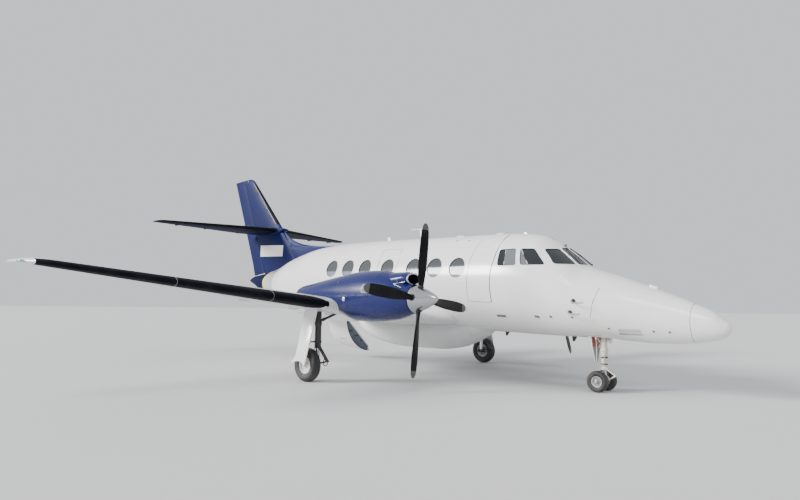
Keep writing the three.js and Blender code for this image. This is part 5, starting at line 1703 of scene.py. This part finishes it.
for s in (foreEdge - .004, aftEdge + .004):
    ends = [at(s, *stairSide(s, z, stairs["depth"] - .004))
            for z in (stairs["low"] + .03, stairs["high"] - .03)]
    rails.append(bar(ends[0], ends[1], stairs["railRadius"], 20))
finished(opened(joined(rails)), "doorHandRails", "passenger_door", liningPale)
edgeSeal = doorSheet(-.012, .018)
carve(edgeSeal, [doorTool(door["gap"] - .003)], "INTERSECT")
carve(edgeSeal, [doorTool(door["gap"] + .004)])
finished(opened(edgeSeal), "doorEdgeSeal", "passenger_door", sealRubber)


def flatArm(start, end, half, fore, aft):
    # flat lever between two (y, z) points, with its faces across the aircraft's length
    way = (Vector(end) - Vector(start)).normalized()
    across = Vector((-way.y, way.x)) * half
    arm = prism([Vector(start) + across, Vector(end) + across, Vector(end) - across,
                 Vector(start) - across], "x", fore, aft)
    return eased(arm, .003)


hingeSpot = (door["hingeY"], door["hingeZ"])
lugs, arms = [], []
for s in stairs["lugs"]:
    high, half = door["hingeZ"] + .06, stairs["lugHalf"]
    lugs.append(flatArm(hingeSpot, (sidePoint(body, s, high, 1).y - .02, high), half, s - half,
                        s + half))
    lugs.append(bar(at(s - stairs["pinReach"], *hingeSpot), at(s + stairs["pinReach"], *hingeSpot),
                    stairs["pinRadius"], 20))
    for way in (-1, 1):
        ends = sorted((s + way * .02, s + way * (stairs["pinReach"] + .014)))
        foot, length = door["sill"] + .06, ends[1] - ends[0]
        arms.append(flatArm(hingeSpot, (sidePoint(body, s, foot, 1).y - .014, foot), stairs["armHalf"],
                            *ends))
        arms.append(spunRing([(.0098, 0), (.0185, 0), (.0185, length), (.0098, length)],
                             at(ends[1], *hingeSpot), "X", 28))
fixed(joined(lugs), "doorHingeLugs", whitePaint)
finished(opened(joined(arms)), "doorHingeArms", "passenger_door", stairGrey)

# Inside the entry
def entryRoom():
    # what the lining leaves free inside the entry section
    return hull(body, 9.5, 10.56, .06, fuselage["sides"], grow=-fuselage["wall"] - .004)


opening = doorSheet(.0015, .02)
carve(opening, [doorTool(-.018, .06)], "INTERSECT")
carve(opening, [doorTool(0)])
fixed(opening, "doorwaySurround", brightSteel)
floorMat = slab(at(10.5, -.7, door["floor"]), at(9.56, .47, door["floor"] + .012), .004)
carve(floorMat, [entryRoom()], "INTERSECT")
fixed(floorMat, "entryCarpet", carpet)
rear = joined([
    slab(at(10.53, -.7, 1.42), at(10.505, .5, 2.62), .008),
    slab(at(10.5, -.78, 1.415), at(9.9, -.45, 2.15), .02, 3)])
carve(rear, [entryRoom()], "INTERSECT")
fixed(rear, "entryCabinet", liningPale)
print("airstair door ready")

# Padded pieces
cushion = {"voxel": .006, "pressure": 4, "frames": 20, "cap": .009, "fill": .7}


def padded(piece, name):
    # puffed up by cloth pressure, with its travel capped, then rounded once
    startEdit(piece)
    bpy.ops.mesh.subdivide(number_cuts=2)
    endEdit()
    modify(piece, "REMESH", mode="VOXEL", voxel_size=cushion["voxel"])
    before = [vertex.co.copy() for vertex in piece.data.vertices]
    pickOnly(piece)
    bpy.ops.object.modifier_add(type="CLOTH")
    cloth = piece.modifiers[-1]
    cloth.settings.use_pressure = True
    cloth.settings.uniform_pressure_force = cushion["pressure"]
    cloth.settings.effector_weights.gravity = 0
    for number in range(1, cushion["frames"] + 1):
        bpy.context.scene.frame_set(number)
    bpy.ops.object.modifier_apply(modifier=cloth.name)
    bpy.context.scene.frame_set(1)
    for vertex, start in zip(piece.data.vertices, before):
        travel = vertex.co - start
        if travel.length > cushion["cap"]:
            vertex.co = start + travel * (cushion["cap"] / travel.length)
    modify(piece, "SUBSURF", levels=1, render_levels=1)
    fixed(piece, name, seatCloth, smooth=60)


# Cockpit inside
desk = {"panel": (2.7, 2.79, .6, 1.88, 2.09), "pedestal": (2.955, .108, 1.86), "floor": 1.3,
        "glareHalf": .62,
        "bigDials": {"across": (-.52, -.4, -.28, .28, .4, .52), "up": (1.94, 2.02), "bore": .03,
                     "rim": .038,
                     "deep": .008, "face": .003, "sides": 24},
        "smallDials": {"across": (-.13, -.045, .045, .13), "up": (1.925, 1.975, 2.025), "bore": .017,
                       "rim": .022,
                       "deep": .007, "face": .002, "sides": 20},
        "levers": (-.06, -.02, .02, .06), "yokeZ": 1.93, "yokeS": 3, "yokeHalf": .12}
fore, aft, half, low, high = desk["panel"]
pedestalS, pedestalHalf, pedestalTop = desk["pedestal"]
board = joined([
    slab(at(aft, -half, low), at(fore, half, high - .01), .012),
    slab(at(pedestalS, -pedestalHalf, desk["floor"] + .002), at(fore, pedestalHalf, pedestalTop), .02,
         3)])
fixed(board, "instrumentBoard", insideGrey, ["instrument_panel"])
glare = prism([(fore - .03, high - .03), (fore - .03, high), (aft + .07, high + .012),
               (aft + .075, high - .012)], "y",
              -desk["glareHalf"], desk["glareHalf"])
eased(glare, .008, 3)
fixed(glare, "glareShield", sealRubber)
dials, faces = [], []
for dial in (desk["bigDials"], desk["smallDials"]):
    bore, rim, deep, sides = (dial[key] for key in ("bore", "rim", "deep", "sides"))
    for y in dial["across"]:
        for z in dial["up"]:
            dials.append(spunRing([(bore, 0), (rim, 0), (rim, deep), (bore, deep)],
                                  at(aft + deep, y, z), "X", sides))
            faces.append(bar(at(aft, y, z), at(aft + dial["face"], y, z), bore + .001, sides, edge=0))
fixed(joined(dials), "dialRims", fittingGrey)
fixed(joined(faces), "dialFaces", intakeBlack)
levers = []
for y in desk["levers"]:
    levers += [bar(at(2.86, y, 1.85), at(2.84, y, 1.95), .006, 12),
               bar(at(2.84, y - .012, 1.955), at(2.84, y + .012, 1.955), .014, 16)]
fixed(joined(levers), "powerLevers", insideGrey)
# seat boxes are (fore, aft, half width, low, high)
seat = {"y": .4, "base": (3.24, 3.42, .16, 1.302, 1.54), "pan": (3.09, 3.56, .21, 1.545, 1.575),
        "back": (3.555, 3.59, .2, 1.6, 2.17), "headRods": .06, "arms": .19,
        "seatCushion": (3.1, 3.54, .2, 1.58, 1.655), "backCushion": (3.495, 3.55, .19, 1.68, 2.15),
        "headCushion": (3.515, 3.575, .1, 2.19, 2.35)}


def seatBox(kind, y, edge, segments=2):
    fore, aft, half, low, high = seat[kind]
    return slab(at(aft, y - half, low), at(fore, y + half, high), edge, segments)


for side, label in ((1, "left"), (-1, "right")):
    y = side * seat["y"]
    seatFrame = joined([
        seatBox("base", y, .012), seatBox("pan", y, .012), seatBox("back", y, .014, 3),
        *(bar(at(3.57, y + way * seat["headRods"], 2.1), at(3.555, y + way * seat["headRods"], 2.22),
              .009, 16)
          for way in (-1, 1)),
        *(bar(at(3.52, y + way * seat["arms"], 1.8), at(3.22, y + way * seat["arms"], 1.81), .016, 20)
          for way in (-1, 1))])
    fixed(seatFrame, f"seatFrame.{label}", liningPale, [f"pilot_seat_{label}"])
    yokeS, yokeZ, reach = desk["yokeS"], desk["yokeZ"], desk["yokeHalf"]
    yoke = joined([
        bar(at(aft, y, yokeZ), at(yokeS, y, yokeZ), .014, 20),
        bar(at(yokeS, y - reach, yokeZ), at(yokeS, y + reach, yokeZ), .013, 20),
        *(bar(at(yokeS, y + way * reach, 1.925), at(3.01, y + way * .135, 2.02), .014, 20)
          for way in (-1, 1))])
    fixed(yoke, f"controlYoke.{label}", gearDark)
    for kind in ("seatCushion", "backCushion", "headCushion"):
        padded(seatBox(kind, y, .022, 3), f"{kind}.{label}")
print("cockpit inside ready")

# Seams and panel lines on the skin
lines = {
    "radius": .008, "fineRadius": .004,
    "bay": [(3.763, 2.884), (3.756, 2.779), (3.757, 2.561), (3.761, 2.367), (3.789, 2.183),
            (3.803, 1.98),
            (3.809, 1.81), (3.808, 1.66), (3.818, 1.552)],
    "bayFoot": [(3.818, 1.552), (4.072, 1.564), (4.341, 1.581)],
    "bayRear": [(4.262, 2.822), (4.265, 2.67), (4.289, 2.457), (4.311, 2.243), (4.323, 2.055),
                (4.33, 1.9),
                (4.339, 1.744), (4.341, 1.581)],
    "noseBay": [(1.812, 1.969), (1.843, 1.786), (1.892, 1.616), (1.917, 1.538), (1.945, 1.398),
                (1.982, 1.296)],
    "hatch": [(6.8, 1.95), (6.81, 2.287), (6.812, 2.474), (6.832, 2.66), (6.8, 2.72), (6.74, 2.745),
              (6.34, 2.719),
              (6.27, 2.7), (6.254, 2.64), (6.223, 2.446), (6.243, 2.266), (6.25, 1.95), (6.8, 1.95)],
}


def skinSeam(points, radius):
    # thin dark line through (s, z) places, sunk half into the skin on both sides
    seams = []
    for side in (1, -1):
        seams.append(wire(bead([sidePoint(body, s, z, side) for s, z in points]), radius))
    return joined(seams)


fixed(skinSeam(lines["bay"], lines["radius"]), "serviceBaySeam", seamGrey, smooth=60)
fineSeams = [skinSeam(lines[name], lines["fineRadius"]) for name in ("bayFoot", "bayRear", "noseBay")]
fixed(joined(fineSeams), "skinSeams", seamGrey, smooth=60)
hatch = skinSeam(lines["hatch"], lines["fineRadius"])
fixed(hatch, "exitHatchSeam", seamGrey, smooth=60)
turns = [2 * math.pi * k / 72 for k in range(72)]
ring = wire([hullPoint(body, fuselage["radome"], turn) for turn in turns], .0035, closed=True)
fixed(ring, "radomeSeam", seamGrey, smooth=60)
doorwayPath = [sidePoint(body, s, z, 1) for s, z in doorOutline(-.004)]
fixed(wire([*doorwayPath, doorwayPath[0]], .003), "doorwaySeam", seamGrey, smooth=60)
cowlSeams = []
for s in (4.98, 6.05):
    cowlSeams.append(wire([hullPoint(nacelle["rows"], s, turn, 0, nacelle["y"]) for turn in turns],
                          .0025, closed=True))
bothSides(joined(cowlSeams), "cowlSeams", root, seamBlue, None, 60)
print("seams ready")

# Small fittings
fittings = {
    "mast": (6.24, 3.0, .25), "bladeAntennas": [(7.32, 3.03, .1), (3.55, 2.91, .05)],
    "blisters": [5.2, 4.18],
    "lowBlades": [(4.016, .974, .075), (2.58, .94, .09)], "sensor": (2.75, 2.64),
    "probes": [(2.226, 1.581), (2.298, 1.393)], "lamp": (5.724, 1.577),
    "slot": [(5.03, 1.85), (5.27, 1.85), (5.27, 1.69), (5.03, 1.69)],
    "plate": {"from": 11.56, "to": 12.73, "low": (2.88, 2.93), "high": (3.2, 3.265)},
    "intakeEdges": [[(4.6, 1.85), (4.5, 1.87), (4.4, 1.885)],
                    [(4.6, 1.85), (4.52, 1.815), (4.44, 1.78)]],
    "grilles": [(1.23, 1.58, 1.07, 1.12)],
    "sideDots": [(1.04, 1.096), (.809, 1.092), (1.724, 1.126)],
    "roofDots": [(4.914, 2.832), (4.592, 2.807)],
}


def skinPatch(outline, proud, deep=.01, corner=.006):
    # thin raised plate that follows the fuselage inside an (s, z) outline
    stations = [s for s, z in outline]
    patches = []
    for side in (1, -1):
        sheet = skinSheet(min(stations) - .05, max(stations) + .05, .03, proud, deep)
        tool = prism(outline, "y", .03, 1.2, corner, 3)
        if side < 0:
            tool.scale.y = -1
            turnOutwards(settle(tool))
        patches.append(carve(sheet, [tool], "INTERSECT"))
    return joined(patches)


s, z, tall = fittings["mast"]
mastTop = z + tall
mast = joined([bar(at(s + .07, 0, z - .03), at(s + .12, 0, mastTop), .034, 20, .022),
               bar(at(s, 0, mastTop - .002), at(s + .4, 0, mastTop + .004), .009, 16),
               *(bar(at(s + shift, 0, mastTop - .012), at(s + shift, 0, mastTop + .014), .013, 16)
                 for shift in (.02, .38))])
fixed(mast, "roofMast", whitePaint)
fins = []
for s, z, tall in fittings["bladeAntennas"]:
    fins.append(prism([(s - .05, z - .03), (s + .1, z - .03), (s + .09, z + tall), (s + .04, z + tall)],
                      "y", -.006, .006))
    eased(fins[-1], .004)
fixed(joined(fins), "bladeAntennas", whitePaint)
low = joined([prism([(s - .05, z + .03), (s + .07, z + .03), (s + .06, z - tall), (s + .02, z - tall)],
                    "y", -.007, .007)
              for s, z, tall in fittings["lowBlades"]])
eased(low, .004)
fixed(low, "lowBladeAntennas", gearDark)
s, z = fittings["sensor"]
fixed(bar(at(s, 0, z - .04), at(s - .01, 0, z + .022), .022, 20, .014), "windscreenSensor", gearDark)
domes = []
for s in fittings["blisters"]:
    bpy.ops.mesh.primitive_uv_sphere_add(segments=28, ring_count=16, radius=1,
                                         location=at(s, 0, along(body, s)[0] + .004))
    domes.append(bpy.context.object)
    domes[-1].scale = (.12, .07, .026)
    settle(domes[-1])
fixed(joined(domes), "roofBlisters", whitePaint, smooth=60)
bpy.ops.mesh.primitive_uv_sphere_add(segments=28, ring_count=16, radius=1, location=at(13.6, 0, 5.4))
beacon = bpy.context.object
beacon.scale = (.05, .03, .037)
fixed(beacon, "finBeacon", redLens, smooth=60)
beaconBase = bar(at(13.6, 0, 5.36), at(13.6, 0, 5.405), .05, 28, .045)
fixed(beaconBase, "finBeaconBase", fittingGrey)

probes, roots = [], []
for s, z in fittings["probes"]:
    for side in (1, -1):
        place = sidePoint(body, s, z, side)
        out = Vector((0, side, -.25)).normalized()
        probes.append(wire(bead([place, place + out * .08 + at(noseX - .01, 0, 0),
                                 place + out * .13 + at(noseX - .07, 0, 0),
                                 place + out * .14 + at(noseX - .24, 0, 0)]), .0105, resolution=3))
        roots.append(bar(place - out * .012, place + out * .04, .04, 20, .024))
fixed(joined(probes), "pitotProbes", fittingGrey, smooth=50)
fixed(joined(roots), "pitotRoots", gearDark)

grilles, trims = [], []
for fore, aft, low, high in fittings["grilles"]:
    grilles.append(skinPatch([(fore, low), (aft, low), (aft, high), (fore, high)], .0025))
    trims.append(skinPatch([(fore - .01, low - .045), (aft + .01, low - .045), (aft + .01, low - .015),
                            (fore - .01, low - .015)],
                           .003))
fixed(joined(grilles), "noseVents", tailGrey)
fixed(joined(trims), "noseVentTrims", brightSteel)
spots = []
for s, z in [*fittings["sideDots"], *fittings["roofDots"]]:
    for side in (1, -1):
        place = sidePoint(body, s, z, side)
        middle = Vector((place.x, 0, (along(body, s)[0] + along(body, s)[1]) / 2))
        out = (place - middle).normalized()
        spots.append(bar(place - out * .01, place + out * .004, .019, 20))
fixed(joined(spots), "skinDrains", seamGrey, smooth=40)
cap = prism([(1.07, 1.75), (1.08, 1.83), (1.2, 1.872), (1.23, 1.8)], "y", -.07, .07)
eased(cap, .012, 3)
fixed(cap, "noseTopHousing", whitePaint)

# Lamps, slots and vents on the nacelles
s, z = fittings["lamp"]


def cowlPoint(s, z, side=1, grow=0.0):
    # point of the port nacelle's outboard (1) or inboard (-1) side
    top, bottom, half = along(nacelle["rows"], s)
    high = (2 * z - top - bottom) / (top - bottom)
    return at(s, nacelle["y"] + side * (half + grow) * math.sqrt(max(0, 1 - high * high)), z)


def creasePoint(s, z):
    # outboard point of nacelle or scoop, whichever stands further out
    top, bottom, half = along(nacelle["scoopRows"], s)
    high = (2 * z - top - bottom) / (top - bottom)
    scoop = half * math.sqrt(max(0, 1 - high * high))
    return at(s, max(cowlPoint(s, z).y, nacelle["y"] + scoop) + .004, z)


lampPlace = cowlPoint(s, z)
lampRim = bar(lampPlace - Vector((0, .02, 0)), lampPlace + Vector((0, .008, 0)), .044, 32, .038)
bothSides(lampRim, "cowlLampRim", root, brightSteel)
bothSides(bar(lampPlace, lampPlace + Vector((0, .014, 0)), .032, 32, .026), "cowlLamp", root, clearLens)
slotTool = prism(fittings["slot"], "y", 2.6, 3.1, .03)
slotSheet = hull(nacelle["rows"], 4.95, 5.35, .04, nacelle["sides"], grow=.002, centreY=nacelle["y"],
                 closeEnds=False)
startEdit(slotSheet)
bpy.ops.mesh.normals_make_consistent(inside=False)
endEdit()
modify(slotSheet, "SOLIDIFY", thickness=.01, offset=-1)
carve(slotSheet, [slotTool], "INTERSECT")
bothSides(slotSheet, "cowlVent", root, fittingGrey)
slats = [wire([cowlPoint(place, z, 1, .003) for place in stationsBetween(5.05, 5.25, .04)], .006)
         for z in
         stationsBetween(1.71, 1.83, .024)]
bothSides(joined(slats), "cowlVentSlats", root, intakeBlack, None, 60)
notch = bar(cowlPoint(5.96, 1.89) - Vector((0, .01, 0)), cowlPoint(5.96, 1.89) + Vector((0, .004, 0)),
            .026, 24)
bothSides(notch, "cowlDrain", root, intakeBlack)
edges = [wire(bead([creasePoint(s, z) for s, z in line]), .008, resolution=2)
         for line in fittings["intakeEdges"]]
bothSides(joined(edges), "intakeEdges", root, leadingMetal, None, 60)

# Wing tip lights, joints in the boots, static wicks, hinge fairings and the taxi lamp
tipLens = {"place": (6.69, 7.865, 2.013), "size": (.11, .05, .026)}
for side, label, glow in ((1, "left", redLens), (-1, "right", greenLens)):
    bpy.ops.mesh.primitive_uv_sphere_add(segments=28, ring_count=16, radius=1)
    lamp = bpy.context.object
    s, y, z = tipLens["place"]
    lamp.location = at(s, side * y, z)
    lamp.scale = tipLens["size"]
    fixed(lamp, f"tipLamp.{label}", glow, smooth=60)


def bootJoint(y, radius=.0035):
    # line round the leading edge from the boot's lower edge to its upper one
    under, over = wing["bootShares"][1], wing["bootShares"][0]
    lower = [foilPoint(wing["rows"], y, x * x * under, -1, wing["camber"], radius)
             for x in stationsBetween(0, 1, .1)]
    upper = [foilPoint(wing["rows"], y, x * x * over, 1, wing["camber"], radius)
             for x in stationsBetween(.1, 1, .1)]
    return wire(lower[::-1] + upper, radius)


bothSides(joined([bootJoint(y) for y in (4.22, 5.9)]), "bootJoints", root, fittingGrey, None, 60)


def wicks(rows, places, camber, length):
    # thin rods out of the trailing edge
    tips = [foilPoint(rows, y, 1, 0, camber) for y in places]
    return joined([bar(tip + Vector((.01, 0, 0)), tip - Vector((length, 0, .004)), .0035, 10)
                   for tip in tips])


aileronWicks = wicks(wing["rows"], (5.3, 5.9, 6.5, 7.1), wing["camber"], .09)
bothSides(aileronWicks, "aileronWicks", ("aileron_left", "aileron_right"), sealRubber)
bothSides(wicks(tail["rows"], (1.6, 2.3, 3), 0, .08), "elevatorWicks", ("elevator", "elevator"),
          sealRubber)
finished(joined([bar(at(trailLine(z) - .01, 0, z), at(trailLine(z) + .08, 0, z - .004), .0035, 10)
                 for z in (3.2, 4, 4.8)]), "rudderWicks", "rudder", sealRubber)


def fairings(spots, back, front, half, deep, sunk, edge, segments=2):
    # small boxes hung under the surface at each spot
    return joined([slab(spot + Vector((-back, -half, -deep)), spot + Vector((front, half, sunk)), edge,
                        segments)
                   for spot in spots])


hinges = [foilPoint(tail["rows"], y, elevatorHinge(y) - .06, -1) for y in (.81, 1.86, 2.7)]
bothSides(fairings(hinges, .05, .16, .016, .035, .01, .01), "elevatorHingeFairings", root, gearDark)
tracks = [foilPoint(wing["rows"], y, .8, -1, wing["camber"]) for y in (1.9, 2.9, 4.1)]
bothSides(fairings(tracks, .14, .2, .02, .045, .012, .016, 3), "flapTrackFairings", root, wingPaint)
taxiZ = .9
taxiShell = bar(at(noseS - .07, 0, taxiZ), at(noseS - .13, 0, taxiZ), .05, 32, .056)
fixed(taxiShell, "taxiLampShell", gearCream)
taxiLamp = bar(at(noseS - .125, 0, taxiZ), at(noseS - .139, 0, taxiZ), .048, 32, .043)
fixed(taxiLamp, "taxiLamp", clearLens)

# Registration plate, left blank, and a pale line along the dorsal fillet's ridge, a painted highlight
def finSide(s, z):
    # half thickness of the fin at (s, z)
    lead, depth = finValue(z, 1), finValue(z, 2)
    return halfDepth(min(1, max(0, (s - lead) / (trailLine(z) - lead))), depth)


def dorsalSide(s, z):
    lead, depth = along(fin["dorsalRows"], z)
    reach = min(.6, .8 * (fin["dorsalEnd"] - lead))
    return .5 * depth * math.sqrt(min(1, max(0, (s - lead) / reach)))


plates, plate = [], fittings["plate"]
for side in (1, -1):
    rings = []
    for s in stationsBetween(plate["from"], plate["to"], .06):
        share = (s - plate["from"]) / (plate["to"] - plate["from"])
        low, high = (ends[0] + (ends[1] - ends[0]) * share for ends in (plate["low"], plate["high"]))
        rings.append([at(s, side * (max(finSide(s, z), dorsalSide(s, z)) + over), z)
                      for z, over in ((low, -.01), (high, -.01), (high, .004), (low, .004))])
    plates.append(pulledRings(rings))
fixed(joined(plates), "registrationPlates", whitePaint)
# pale line on each side of the dorsal ridge: a painted highlight where the rounded fillet catches the
# light
ridge = [(11.62, 3.607), (11.37, 3.339), (10.933, 3.168), (10.422, 3.084), (9.7, 3.05), (9.1, 3.02)]
dorsalHighlightLine = joined([wire(bead([at(s, side * dorsalSide(s, z), z) for s, z in ridge]), .009)
                     for side in (1, -1)])
fixed(dorsalHighlightLine, "dorsalHighlightLine", dorsalHighlightPaint, smooth=60)
fairing = {"half": .115,
           "outline": [(11.58, 3.655), (11.75, 3.595), (12.1, 3.57), (12.72, 3.6), (12.72, 3.74),
                       (12.1, 3.77), (11.75, 3.735), (11.6, 3.69)]}
rootFairing = pulledRings([[at(s, y, z) for s, z in fairing["outline"]]
                           for y in (-fairing["half"], fairing["half"])])
eased(rootFairing, .02, 3)
fixed(rootFairing, "tailRootFairing", finBlue)

# Posts at the side panes, wipers, and a finish for the engine blocks
rods = []
for line in cockpit["posts"].values():
    for side in (1, -1):
        ends = [sidePoint(body, s, z, side, -.012) for s, z in line]
        rods.append(bar(ends[0], ends[1], .011, 16))
fixed(joined(rods), "panePosts", liningPale, smooth=40)
wipers = []
for side in (1, -1):
    arm = [(2.33, .2, .012), (2.52, .13, .02), (2.69, .06, .012)]
    line = [hullPoint(body, s, math.acos(min(1, y / along(body, s)[2])), high) for s, y, high in arm]
    line = [Vector((place.x, side * abs(place.y), place.z)) for place in line]
    wipers.append(wire(line, .009, resolution=2))
    wipers.append(bar(line[0] - Vector((0, 0, .03)), line[0] + Vector((0, 0, .012)), .018, 16))
fixed(joined(wipers), "wipers", gearDark, smooth=50)
for label in ("left", "right"):
    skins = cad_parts[f"engine_{label}"].data.materials
    skins.clear()
    skins.append(sootMetal)
print("fittings ready")
